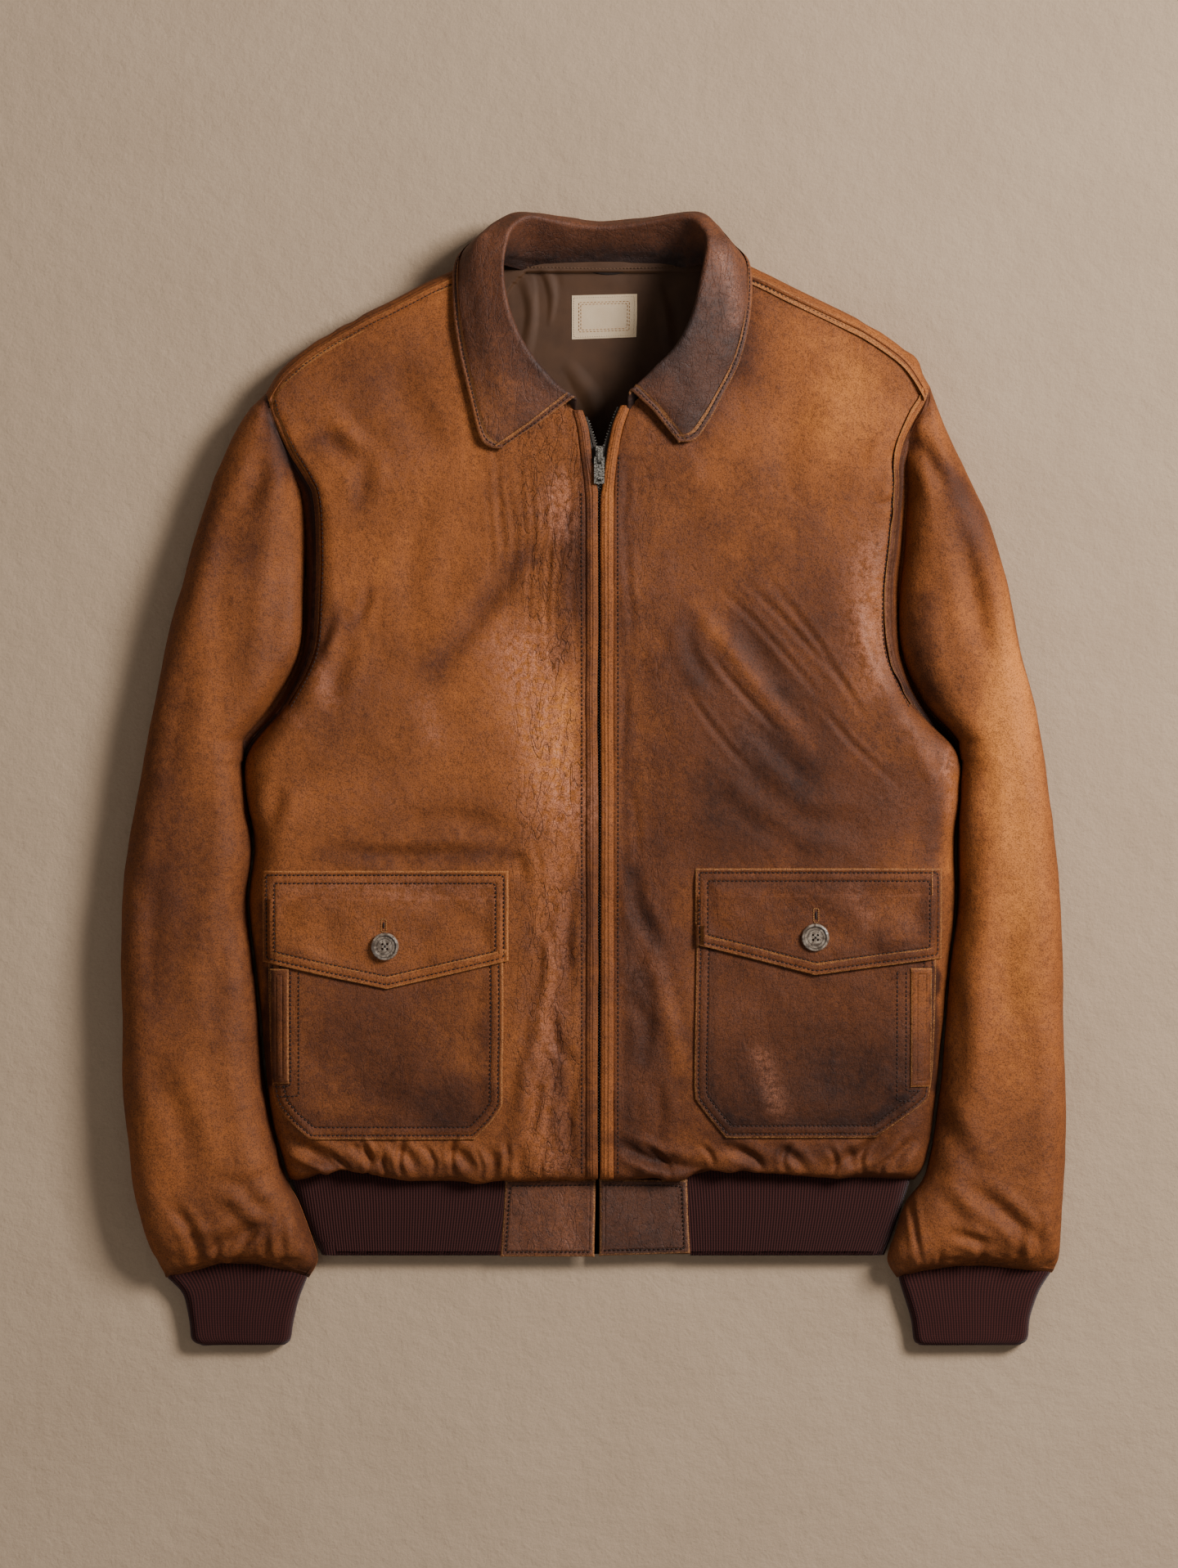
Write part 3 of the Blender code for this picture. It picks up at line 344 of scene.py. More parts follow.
def leatherSurface():
    tree, into, out = group("leatherSurface",
                            [("Dark", "Float"), ("GlossAndPaintedSheen", "Float"), ("Crease", "Float"), ("Edge", "Float")],
                            [("Color", "Color"), ("Roughness", "Float"), ("Height", "Float")])
    place = millimetres(tree)
    cloud = speckle(tree, place, 0.04, 6.0, 0.66)
    patch = speckle(tree, place, 0.2, 5.0, 0.62)
    nap = speckle(tree, place, 1.3, 4.0, 0.7)
    shade = into.outputs["Dark"]
    for noise, much in ((cloud, 0.4), (patch, 0.26), (nap, 0.3)):
        shade = calc(tree, "ADD", shade, calc(tree, "MULTIPLY", calc(tree, "SUBTRACT", noise, 0.5), much))
    shade = calc(tree, "ADD", shade, 0.0, True)
    ramp = make(tree, "ValToRGB", {0: shade})
    ramp.color_ramp.elements[0].color = leather["bright"]
    ramp.color_ramp.elements[1].color = leather["deep"]
    for at, tone in ((0.32, "tan"), (0.66, "brown")):
        ramp.color_ramp.elements.new(at).color = leather[tone]
    # painted sheen: a pale pinkish colour mixed in where the gloss mask is high; the same mask makes the leather
    # glossier below
    glossAndPaintedSheen = calc(tree, "MULTIPLY", into.outputs["GlossAndPaintedSheen"], stepUp(tree, patch, 0.36, 0.6), True)
    tone = blendColour(tree, calc(tree, "MULTIPLY", glossAndPaintedSheen, 0.85), ramp.outputs[0], leather["glossAndPaintedSheen"])
    grain = make(tree, "TexVoronoi", {"Vector": place, "Scale": 1.1, "Randomness": 0.9}, feature="F1").outputs["Distance"]
    pores = stepUp(tree, calc(tree, "ADD", grain, calc(tree, "MULTIPLY", patch, 0.35)), 0.62, 0.92)
    tone = blendColour(tree, calc(tree, "MULTIPLY", pores, 0.45), tone, leather["pore"])
    # fine creases, darkened as painted shade: long ones where the piece says so, a few short ones everywhere
    long = creaseLines(tree, place, 0.11, 0.3, 0.022)
    short = creaseLines(tree, place, 0.3, 0.55, 0.03)
    crack = calc(tree, "ADD", calc(tree, "MULTIPLY", long, into.outputs["Crease"]),
                 calc(tree, "MULTIPLY", short, calc(tree, "ADD", calc(tree, "MULTIPLY", into.outputs["Crease"], 0.55), 0.12)))
    tone = blendColour(tree, calc(tree, "MULTIPLY", crack, 0.4, True), tone, leather["deep"])
    # ragged worn rims
    ragged = calc(tree, "ADD", into.outputs["Edge"], calc(tree, "MULTIPLY", patch, -2.4))
    rim = calc(tree, "SUBTRACT", 1.0, stepUp(tree, ragged, -1.2, 0.0))
    rim = calc(tree, "MULTIPLY", rim, stepUp(tree, nap, 0.4, 0.62))
    tone = blendColour(tree, calc(tree, "MULTIPLY", rim, 0.5), tone, leather["worn"])
    rough = make(tree, "MapRange", {0: calc(tree, "ADD", into.outputs["GlossAndPaintedSheen"], calc(tree, "MULTIPLY", cloud, 0.6)),
                                    1: 0.2, 2: 1.1, 3: leather["roughest"], 4: leather["smoothest"]}).outputs[0]
    height = calc(tree, "MULTIPLY", calc(tree, "SUBTRACT", 1.0, grain), 0.06)
    height = calc(tree, "ADD", height, calc(tree, "MULTIPLY", nap, 0.1))
    height = calc(tree, "ADD", height, calc(tree, "MULTIPLY", patch, 0.7))
    height = calc(tree, "ADD", height, calc(tree, "MULTIPLY", cloud, 1.2))
    height = calc(tree, "SUBTRACT", height, calc(tree, "MULTIPLY", crack, 0.34))
    tree.links.new(tone, out.inputs["Color"])
    tree.links.new(rough, out.inputs["Roughness"])
    tree.links.new(height, out.inputs["Height"])
    return tree


def seamGroove():
    # dips under two rows of stitches and plumps the leather between them
    tree, into, out = group("seamGroove", [("Edge", "Float"), ("First", "Float"), ("Second", "Float"),
                                           ("Height", "Float")], [("Height", "Float")])
    height = into.outputs["Height"]
    for row in ("First", "Second"):
        d = calc(tree, "SUBTRACT", into.outputs["Edge"], into.outputs[row])
        d = calc(tree, "MULTIPLY", calc(tree, "MULTIPLY", d, d), -2.2)
        height = calc(tree, "SUBTRACT", height, calc(tree, "MULTIPLY", calc(tree, "EXPONENT", d), 0.42))
    tree.links.new(height, out.inputs["Height"])
    return tree


def principled(name, **values):
    m = bpy.data.materials.new(name)
    m.use_nodes = True
    shader = m.node_tree.nodes["Principled BSDF"]
    for key, value in values.items():
        shader.inputs[key.replace("_", " ")].default_value = value
    return m, m.node_tree, shader


def bump(tree, shader, height, strength=1.0):
    lift = make(tree, "Bump", {"Height": height, "Strength": strength, "Distance": 0.001})
    tree.links.new(lift.outputs["Normal"], shader.inputs["Normal"])


def leatherLook(name, rows=(-20.0, -20.0), darker=0.0, gloss=0.0):
    m, tree, shader = principled(name, Specular_IOR_Level=0.2 + gloss)
    layer = {}
    for key in ("dark", "glossAndPaintedSheen", "crease", "edge"):
        layer[key] = make(tree, "Attribute", attribute_name=key).outputs["Fac"]
    if darker:
        layer["dark"] = calc(tree, "ADD", layer["dark"], darker)
    skin = make(tree, "Group", node_tree=bpy.data.node_groups["leatherSurface"])
    for label, key in (("Dark", "dark"), ("GlossAndPaintedSheen", "glossAndPaintedSheen"), ("Crease", "crease"), ("Edge", "edge")):
        tree.links.new(layer[key], skin.inputs[label])
    dip = make(tree, "Group", {"Edge": layer["edge"], "First": rows[0], "Second": rows[1],
                               "Height": skin.outputs["Height"]}, node_tree=bpy.data.node_groups["seamGroove"])
    tree.links.new(skin.outputs["Color"], shader.inputs["Base Color"])
    tree.links.new(skin.outputs["Roughness"], shader.inputs["Roughness"])
    bump(tree, shader, dip.outputs["Height"])
    return m


def clothLook(name, tone, dark, thread, roughness, sheen=0.0, height=0.1):
    # woven cloth: two crossing threads
    m, tree, shader = principled(name, Roughness=roughness, Sheen_Weight=sheen, Specular_IOR_Level=0.25)
    place = millimetres(tree)
    warp = make(tree, "TexWave", {"Vector": place, "Scale": 0.314 / thread, "Distortion": 0.6, "Detail Scale": 2.0},
                bands_direction="X").outputs["Fac"]
    weft = make(tree, "TexWave", {"Vector": place, "Scale": 0.314 / thread, "Distortion": 0.6, "Detail Scale": 2.0},
                bands_direction="Y").outputs["Fac"]
    weave = calc(tree, "MULTIPLY", warp, weft)
    patch = speckle(tree, place, 0.08, 4.0)
    both = calc(tree, "ADD", calc(tree, "MULTIPLY", weave, 0.5), calc(tree, "MULTIPLY", patch, 0.6), True)
    tree.links.new(blendColour(tree, both, dark, tone), shader.inputs["Base Color"])
    bump(tree, shader, calc(tree, "MULTIPLY", weave, height))
    return m


def knitLook(name):
    # ribs from the way across the knit in mm, so that each stays sharp
    m, tree, shader = principled(name, Roughness=0.9, Specular_IOR_Level=0.15, Sheen_Weight=0.1)
    place = millimetres(tree)
    across = make(tree, "Attribute", attribute_name="across").outputs["Fac"]
    wave = calc(tree, "COSINE", calc(tree, "MULTIPLY", across, 2 * math.pi / knit["pitch"]))
    ridge = calc(tree, "ADD", calc(tree, "MULTIPLY", wave, 0.5), 0.5)
    stitch = make(tree, "TexWave", {"Vector": place, "Scale": 0.24, "Distortion": 1.2, "Detail": 2.0, "Detail Scale": 3.0},
                  bands_direction="Y").outputs["Fac"]
    fluff = speckle(tree, place, 2.2, 3.0)
    lit = calc(tree, "ADD", calc(tree, "MULTIPLY", ridge, 0.75), calc(tree, "MULTIPLY", fluff, 0.35), True)
    lit = calc(tree, "MULTIPLY", lit, calc(tree, "ADD", calc(tree, "MULTIPLY", stitch, 0.3), 0.75), True)
    tree.links.new(blendColour(tree, lit, knit["shade"], knit["tone"]), shader.inputs["Base Color"])
    relief = calc(tree, "ADD", calc(tree, "MULTIPLY", stitch, 0.14), calc(tree, "MULTIPLY", fluff, 0.12))
    bump(tree, shader, calc(tree, "ADD", relief, calc(tree, "MULTIPLY", ridge, 0.5)))
    return m


def metalLook(name, tone, dark, roughness):
    m, tree, shader = principled(name, Metallic=1.0)
    place = millimetres(tree)
    stain = speckle(tree, place, 0.9, 4.0, 0.6)
    amount = stepUp(tree, stain, 0.35, 0.65)
    tree.links.new(blendColour(tree, amount, dark, tone), shader.inputs["Base Color"])
    tree.links.new(calc(tree, "ADD", calc(tree, "MULTIPLY", stain, 0.3), roughness), shader.inputs["Roughness"])
    bump(tree, shader, calc(tree, "MULTIPLY", stain, 0.05))
    return m


def hornLook(name, centre):
    # turned horn: clouded, with a dark ring inside the rim
    m, tree, shader = principled(name, Roughness=0.28, Coat_Weight=0.4)
    place = millimetres(tree)
    x, y = plan(centre)
    away = make(tree, "VectorMath", {0: place, 1: (x, y, 0)}, operation="SUBTRACT").outputs[0]
    away = make(tree, "VectorMath", {0: away, 1: (1, 1, 0)}, operation="MULTIPLY").outputs[0]
    radius = make(tree, "VectorMath", {0: away}, operation="LENGTH").outputs["Value"]
    band = make(tree, "TexNoise", {"Vector": place, "Scale": 0.16, "Detail": 3.0, "Distortion": 2.0}).outputs["Fac"]
    band = stepUp(tree, band, 0.35, 0.65)
    tone = blendColour(tree, band, colour(84, 70, 58), colour(146, 130, 114))
    for at, wide in ((7.8, 0.55), (5.6, 0.5)):
        gap = calc(tree, "ABSOLUTE", calc(tree, "SUBTRACT", radius, at))
        ring = calc(tree, "SUBTRACT", 1.0, stepUp(tree, gap, 0.0, wide))
        tone = blendColour(tree, calc(tree, "MULTIPLY", ring, 0.8), tone, colour(36, 26, 20))
    tree.links.new(tone, shader.inputs["Base Color"])
    bump(tree, shader, calc(tree, "MULTIPLY", band, 0.08))
    return m


def threadLook(name, tone, dark):
    m, tree, shader = principled(name, Roughness=0.8)
    place = millimetres(tree)
    tree.links.new(blendColour(tree, speckle(tree, place, 0.4, 3.0), dark, tone), shader.inputs["Base Color"])
    return m


knit = dict(pitch=1.95, depth=0.45, thick=2.2, tone=colour(74, 34, 30), shade=colour(14, 5, 5))

leatherSurface()
seamGroove()
tanLook = leatherLook("tanLeather", rows=(4.2, -20.0))
pocketLook = leatherLook("pocketLeather", rows=(2.6, 8.5))
collarLook = leatherLook("collarLeather", rows=(3.2, -20.0), gloss=0.24)
ribLook = knitLook("ribKnit")
satinLook = clothLook("satinLining", colour(92, 60, 36), colour(54, 34, 20), 0.22, 0.6, 0.0, 0.03)
labelLook = clothLook("wovenLabel", colour(226, 202, 170), colour(190, 160, 124), 0.4, 0.85, 0.1, 0.08)
cordLook = clothLook("loopCord", colour(60, 44, 38), colour(28, 20, 18), 0.5, 0.7, 0.1, 0.15)
tapeLook = clothLook("zipTape", colour(84, 76, 68), colour(44, 38, 34), 0.45, 0.85, 0.0, 0.1)
metalPaint = metalLook("agedNickel", colour(186, 178, 166), colour(84, 78, 70), 0.24)
threadPaint = threadLook("brownThread", colour(52, 25, 13), colour(20, 10, 6))
paleThread = threadLook("tanThread", colour(196, 140, 78), colour(120, 74, 36))
seamThread = threadLook("seamThread", colour(112, 78, 48), colour(64, 42, 26))
creamThread = threadLook("creamThread", colour(226, 206, 176), colour(190, 164, 130))
darkThread = threadLook("blackThread", colour(30, 22, 18), colour(12, 9, 8))
print("looks are ready")

# the body's outlines, station by station, as the solids have them

leftSide = [(352, 1441), (346, 1418), (330, 1353), (315, 1204), (304, 1105), (310, 1030), (300, 930),
            (350, 862), (381, 800), (387, 728), (388, 660), (384, 608), (375, 588), (366, 573),
            (357, 559), (348, 541), (340, 523), (334, 508), (330, 491)]
rightSide = [(1119, 1443), (1132, 1418), (1143, 1353), (1158, 1204), (1168, 1105), (1168, 1030),
             (1172, 930), (1117, 862), (1089, 800), (1085, 728), (1092, 660), (1097, 600), (1097, 570),
             (1101, 548), (1107, 532), (1114, 518), (1121, 506), (1128, 495), (1132, 483)]
leftCentre = [(716, 1443), (716, 1418), (716, 1353), (716, 1204), (716, 1105), (716, 1030), (716, 930),
              (716, 860), (716, 800), (715, 730), (715, 660), (714, 600), (708, 550), (699, 502),
              (680, 485), (655, 458), (632, 425), (612, 378), (603, 324)]
rightCentre = [(751, 1443), (751, 1418), (751, 1353), (751, 1204), (751, 1105), (751, 1030), (751, 930),
               (751, 860), (751, 800), (751, 730), (751, 660), (752, 600), (757, 550), (772, 500),
               (790, 483), (815, 456), (840, 425), (858, 380), (868, 322)]
leftShoulder = [(330, 491), (346, 465), (370, 443), (402, 421), (450, 394), (481, 379), (529, 354),
                (566, 338), (603, 324)]
rightShoulder = [(868, 322), (900, 332), (930, 344), (962, 360), (997, 377), (1030, 393), (1062, 410),
                 (1106, 443), (1132, 483)]
backNeck = [(603, 324), (611, 316), (626, 314), (668, 319), (732, 321), (796, 318), (838, 313),
            (858, 311), (868, 322)]
leftOuter = [(174, 930), (189, 858), (203, 790), (220, 720), (238, 650), (256, 597), (266, 575),
             (275, 556), (285, 535), (297, 515), (308, 498), (318, 487), (324, 482)]
rightOuter = [(1274, 930), (1262, 862), (1247, 795), (1231, 722), (1209, 645), (1190, 597), (1179, 572),
              (1169, 552), (1160, 533), (1153, 517), (1147, 503), (1142, 492), (1138, 482)]
leftArm = [((298, 930), (174, 930)), ((307.5, 1030), (158, 1030)), ((301.5, 1105), (151, 1105)),
           ((312, 1204), (148, 1204)), ((325, 1330), (152, 1330)), ((346, 1430), (162, 1430)),
           ((365, 1470), (170, 1475)), ((380, 1510), (179, 1512)), ((388, 1540), (189, 1540)),
           ((377, 1563), (201, 1563))]
rightArm = [((1174, 930), (1274, 930)), ((1170.5, 1030), (1289, 1030)), ((1170.5, 1105), (1297, 1105)),
            ((1160.5, 1204), (1300, 1204)), ((1150, 1330), (1302, 1330)), ((1134, 1430), (1302, 1430)),
            ((1108, 1470), (1300, 1475)), ((1094, 1510), (1298, 1512)), ((1085, 1540), (1294, 1540)),
            ((1097, 1563), (1288, 1559))]
leftCuff = [((377, 1564), (201, 1564)), ((367, 1586), (222, 1587)), ((358, 1615), (229, 1615)),
            ((354, 1637), (233, 1637)), ((348, 1645), (244, 1645))]
rightCuff = [((1097, 1564), (1288, 1560)), ((1105, 1586), (1272, 1583)), ((1113, 1612), (1262, 1610)),
             ((1118, 1637), (1258, 1636)), ((1124, 1645), (1250, 1645))]
collarLeft = [
    ((704, 497, 47), (704, 487, 54), (660, 520, 52), (614, 551, 49)),
    ((684, 479, 47), (686, 477, 56), (640, 518, 53), (600, 549, 49)),
    ((661, 454, 47), (668, 459, 58), (625, 503, 54), (587, 535, 49)),
    ((638, 422, 46), (645, 429, 60), (607, 463, 55), (574, 485, 48)),
    ((619, 376, 44), (626, 391, 61), (592, 413, 55), (562, 432, 46)),
    ((611, 334, 41), (618, 342, 60), (584, 356, 52), (555, 380, 43)),
    ((615, 319, 31), (622, 301, 54), (580, 307, 48), (556, 326, 34)),
    ((630, 318, 19), (630, 278, 46), (594, 284, 40), (574, 301, 20)),
    ((649, 320, 10.5), (650, 266, 37), (630, 262, 28), (625, 268, 6)),
    ((690, 321, 8), (690, 273, 31), (690, 266, 18), (690, 274, 2.5))]
collarMiddle = ((732, 321, 7.6), (732, 278, 29), (732, 271, 17), (732, 279, 2.5))
collarRight = [
    ((767, 495, 47), (769, 478, 54), (798, 505, 52), (829, 543, 49)),
    ((785, 477, 47), (785, 464, 56), (818, 500, 53), (848, 540, 49)),
    ((809, 451, 47), (804, 446, 58), (840, 490, 54), (864, 520, 49)),
    ((834, 421, 46), (829, 421, 60), (864, 455, 55), (882, 487, 48)),
    ((851, 378, 44), (846, 384, 61), (880, 413, 55), (903, 444, 46)),
    ((861, 335, 41), (856, 342, 60), (892, 358, 52), (916, 388, 43)),
    ((859, 319, 31), (862, 302, 54), (894, 308, 48), (917, 330, 34)),
    ((844, 317, 19), (858, 280, 46), (880, 286, 40), (900, 303, 20)),
    ((825, 318, 10.5), (836, 266, 37), (852, 262, 28), (862, 270, 6)),
    ((780, 320, 8), (780, 274, 31), (780, 267, 18), (780, 275, 2.5))]

body = dict(
    hemSeam=8.5, hemTop=17.5, frontRoll=24.0, backRoll=14.0, sideSeam=14.0,
    shoulderOut=9.0, shoulderRise=18.06, shoulderEnd=75.0,
    centreTop=[33, 33, 37, 41, 42, 43, 45, 46, 46, 46, 46, 46, 46, 45, 45, 44, 43, 40, 35.5],
    sideTop=[33, 33, 36, 39, 40, 42, 44, 44, 44, 44, 43, 42, 41, 40, 39, 38, 37, 36.5, 35.5],
    sideEdge=[14, 14, 14, 14, 14, 14, 14, 30, 34, 35, 36, 36, 36, 36, 36, 36, 36, 35.6, 35.5],
    sideAngle=[0, 0, 0, 0, 0, 0, 0, 30, 45, 50, 55, 60, 62, 64, 66, 68, 70, 70, 70],
    backEdge=[14, 14, 14, 14, 14, 14, 14, 3] + [0] * 11)

# patina and painted light, drawn: real dark and pale patches, with painted shade on the left sleeve's outer side and
# painted light on the right sleeve's outer side. Spots: u, v, half width, half height, turn, amount (plus is darker)
patinaAndPaintedLightSpots = [
    (430, 880, 90, 60, 0, 0.1), (560, 1010, 150, 36, -6, 0.1), (540, 1350, 60, 34, 0, 0.26),
    (450, 1280, 110, 90, 0, 0.06), (450, 450, 110, 60, -25, 0.1), (430, 660, 60, 60, 0, -0.08),
    (940, 930, 120, 90, 25, 0.18), (980, 760, 70, 70, 20, 0.1), (1010, 1020, 150, 40, 0, 0.08),
    (790, 1210, 46, 240, 0, 0.16), (1060, 1310, 90, 60, 0, 0.2), (900, 1340, 60, 40, 0, 0.1),
    (1125, 950, 60, 60, 0, 0.08), (1030, 530, 90, 60, 0, -0.26), (1020, 440, 120, 60, 25, -0.22),
    (880, 560, 60, 70, 0, -0.06), (880, 420, 44, 56, 0, 0.34), (850, 500, 34, 56, 0, 0.22), (598, 500, 34, 60, 0, -0.2), (240, 640, 70, 60, 0, 0.1), (200, 1000, 40, 160, 0, 0.1),
    (300, 1505, 80, 36, 0, 0.06), (230, 1400, 70, 90, 0, -0.08), (200, 1200, 60, 160, 0, 0.04), (1200, 1510, 80, 40, 0, -0.02),
    (1235, 830, 40, 170, 8, -0.34), (1250, 1030, 44, 170, 0, -0.26), (1235, 1250, 60, 90, 0, -0.1),
    (1176, 636, 26, 60, 0, 0.2), (684, 900, 44, 110, 0, -0.22), (1066, 750, 26, 90, 0, -0.14), (1190, 1400, 60, 50, 0, 0.08),
    (240, 1330, 60, 60, 0, -0.06), (520, 1120, 60, 30, 0, 0.04), (1100, 1110, 30, 24, 0, -0.1)]
# strokes of patina, of painted shade in fold troughs and in the gaps beside the side welts, and of painted highlight on
# fold ridges (minus amounts): line, half width, amount
patinaAndPaintedLightStrokes = [
    ([(1141, 1184), (1141, 1330)], 4, 0.5), ([(329, 1186), (330, 1322)], 4, 0.5), ([(600, 470), (612, 540), (606, 600)], 16, 0.08),
    ([(640, 680), (606, 725), (569, 774), (533, 817)], 19, 0.15), ([(392, 541), (430, 556), (447, 572), (440, 620)], 16, 0.12),
    ([(453, 722), (446, 742), (439, 762)], 9, 0.12), ([(410, 755), (400, 778), (392, 801)], 12, 0.14),
    ([(694, 640), (700, 720), (690, 800)], 19, 0.21), ([(714, 560), (714, 900), (714, 1430)], 7, 0.15),
    ([(400, 1044), (500, 1050), (620, 1042)], 13, 0.12), ([(700, 1080), (690, 1200), (680, 1290), (695, 1420)], 17, 0.19),
    ([(640, 1080), (650, 1250), (628, 1400)], 12, 0.1), ([(390, 1420), (480, 1428), (600, 1430)], 12, 0.12),
    ([(322, 1110), (326, 1220), (331, 1320)], 9, 0.14), ([(845, 750), (840, 790), (848, 830)], 19, 0.16),
    ([(900, 760), (925, 800), (960, 840)], 20, 0.12), ([(925, 890), (955, 925), (985, 955)], 20, 0.1),
    ([(940, 900), (900, 960), (880, 1040)], 49, 0.07), ([(775, 1070), (780, 1110), (800, 1150)], 13, 0.16),
    ([(785, 1200), (790, 1250), (788, 1290)], 16, 0.14), ([(745, 1390), (800, 1420), (840, 1432)], 10, 0.15),
    ([(760, 560), (765, 900), (768, 1400)], 9, 0.09), ([(1120, 545), (1150, 575), (1172, 605)], 13, 0.15),
    ([(1130, 740), (1128, 790), (1134, 840)], 16, 0.15), ([(960, 1408), (930, 1422), (900, 1430)], 12, 0.12),
    ([(400, 505), (430, 540), (460, 580)], 14, -0.1), ([(350, 530), (370, 532), (392, 524)], 10, -0.07),
    ([(850, 745), (885, 790), (940, 860), (990, 910)], 12, -0.15), ([(790, 1150), (812, 1230), (830, 1300)], 13, -0.09),
    ([(1165, 950), (1160, 1010), (1158, 1060)], 9, -0.15), ([(470, 690), (455, 740), (440, 800)], 10, -0.06),
    ([(1160, 640), (1172, 700), (1176, 760)], 14, -0.07), ([(280, 700), (262, 820), (250, 960)], 20, -0.05),
    ([(340, 560), (320, 620), (300, 700)], 20, 0.09), ([(230, 1380), (250, 1450), (262, 1540)], 14, 0.06),
    ([(866, 1388), (960, 1404), (1080, 1402)], 10, 0.11), ([(1140, 990), (1138, 1030), (1132, 1056)], 12, 0.1)]
# strokes of painted sheen highlight, which also make the leather glossier: line, half width, amount
glossAndPaintedSheenStrokes = [
    ([(640, 800), (665, 880), (690, 990)], 40, 0.85), ([(684, 600), (680, 620), (686, 644)], 19, 0.58),
    ([(1060, 680), (1058, 760), (1070, 830)], 24, 0.5), ([(1100, 880), (1125, 910), (1150, 935)], 18, 0.3),
    ([(1104, 640), (1106, 740), (1108, 830)], 7, 0.15), ([(684, 1060), (674, 1200), (662, 1330), (674, 1420)], 22, 0.4),
    ([(1040, 1092), (1050, 1108), (1058, 1125)], 12, 0.3), ([(930, 1290), (940, 1320), (948, 1350)], 14, 0.36),
    ([(390, 820), (400, 840), (408, 860)], 11, 0.36), ([(350, 870), (358, 876), (368, 885)], 9, 0.36),
    ([(520, 860), (526, 880), (530, 900)], 14, 0.29), ([(880, 320), (896, 360), (896, 400)], 12, 0.58),
    ([(598, 290), (612, 300), (622, 290)], 14, 0.29), ([(838, 540), (850, 560), (858, 580)], 10, 0.25),
    ([(570, 360), (572, 430), (590, 500)], 12, 0.22), ([(340, 1090), (440, 1084), (600, 1090)], 16, 0.25),
    ([(1156, 920), (1160, 960), (1160, 1000)], 8, 0.36), ([(700, 1440), (690, 1480), (695, 1520)], 16, 0.22)]


def frontPoints(centre, side, shoulder, rows, cols):
    # a front panel: rows from hem to shoulder, columns from the centre to the side seam
    a, b = along(plan(centre), rows), along(plan(side), rows)
    middleTop, sideTop = along(body["centreTop"], rows), along(body["sideTop"], rows)
    endHeight, endAngle = along(body["sideEdge"], rows), np.radians(along(body["sideAngle"], rows))
    line = along(plan(shoulder), np.linspace(0, 8, 65))
    lineShare = np.linspace(0, 1, 65)
    if shoulder[0][0] < shoulder[-1][0] and side is leftSide:
        line, lineShare = line[::-1], lineShare
    rollCols = max(6, cols // 7)
    flatCols = cols - rollCols
    grid = np.zeros((len(rows), cols, 3))
    for i, row in enumerate(rows):
        way = b[i] - a[i]
        width = np.linalg.norm(way)
        way = way / width
        edge = body["hemSeam"] + (endHeight[i] - body["hemSeam"]) * float(ease(row))
        roll = min(body["frontRoll"], 0.3 * width)
        angle = endAngle[i]
        flatEnd = width - roll * math.cos(angle)
        r = np.linspace(0, flatEnd, flatCols)
        top = middleTop[i] + (sideTop[i] - middleTop[i]) * r / width
        top = body["hemTop"] + (top - body["hemTop"]) * float(quarter(row))
        grid[i, :flatCols, :2] = a[i] + way * r[:, None]
        grid[i, :flatCols, 2] = top
        turn = np.linspace(math.pi / 2, angle, rollCols + 1)[1:]
        low = (edge - top[-1] * math.sin(angle)) / (1 - math.sin(angle))
        grid[i, flatCols:, :2] = a[i] + way * (flatEnd + roll * np.cos(turn))[:, None]
        grid[i, flatCols:, 2] = low + (top[-1] - low) * np.sin(turn)
        if row > 12:
            share = np.linalg.norm(grid[i, :, :2] - a[i], axis=1) / width
            bent = np.column_stack([np.interp(share, lineShare, line[:, k]) for k in (0, 1)])
            straight = a[-1] + (b[-1] - a[-1]) * share[:, None]
            grid[i, :, :2] += (bent - straight) * float(ease((row - 12) / 6))
    return grid


def topRoll(s):
    seam = along(plan(leftShoulder[:-1] + backNeck + rightShoulder[1:]), s)
    out = unit(along([(-0.42, 0.91)] * 9 + [(-0.35, 0.94), (-0.1, 1)] + [(0, 1)] * 4
                     + [(0.1, 1), (0.35, 0.94)] + [(0.42, 0.91)] * 9, s))
    end = [75.0] * 9 + [35, -10] + [-30] * 4 + [-10, 35] + [75.0] * 9
    rise = [body["shoulderRise"]] * 9 + [17, 14] + [10] * 4 + [14, 17] + [body["shoulderRise"]] * 9
    return seam, out, np.radians(along(end, s)), along(rise, s)


def backPoints(flatRows, across, rollRows):
    left, right = along(plan(leftSide), flatRows), along(plan(rightSide), flatRows)
    edgeHeight = np.maximum(along(body["backEdge"], flatRows), 0)
    seam, out, end, rise = topRoll(across)
    start = seam - out * (body["shoulderOut"] * np.cos(end))[:, None]
    share = (start[:, 0] - start[0, 0]) / (start[-1, 0] - start[0, 0])
    grid = np.zeros((len(flatRows) + rollRows, len(across), 3))
    lift = start - (start[0] + (start[-1] - start[0]) * share[:, None])
    armY = float(along(plan(leftSide), 6)[0, 1])
    tipY = float(plan(leftSide[-1])[1])
    for i, row in enumerate(flatRows):
        edge = body["hemSeam"] + (edgeHeight[i] - body["hemSeam"]) * float(ease(row))
        w = max(0.0, (left[i, 1] - armY) / (tipY - armY))
        grid[i, :, :2] = left[i] + (right[i] - left[i]) * share[:, None] + lift * w
        near = np.minimum(share, 1 - share) * (right[i, 0] - left[i, 0])
        grid[i, :, 2] = edge * (1 - quarter(near / body["backRoll"]))
    for k in range(rollRows):
        beta = -math.pi / 2 + (end + math.pi / 2) * (k + 1) / rollRows
        away = body["shoulderOut"] * (np.cos(beta) - np.cos(end))
        grid[len(flatRows) + k, :, :2] = seam + out * away[:, None]
        grid[len(flatRows) + k, :, 2] = rise * (1 + np.sin(beta))
    return grid


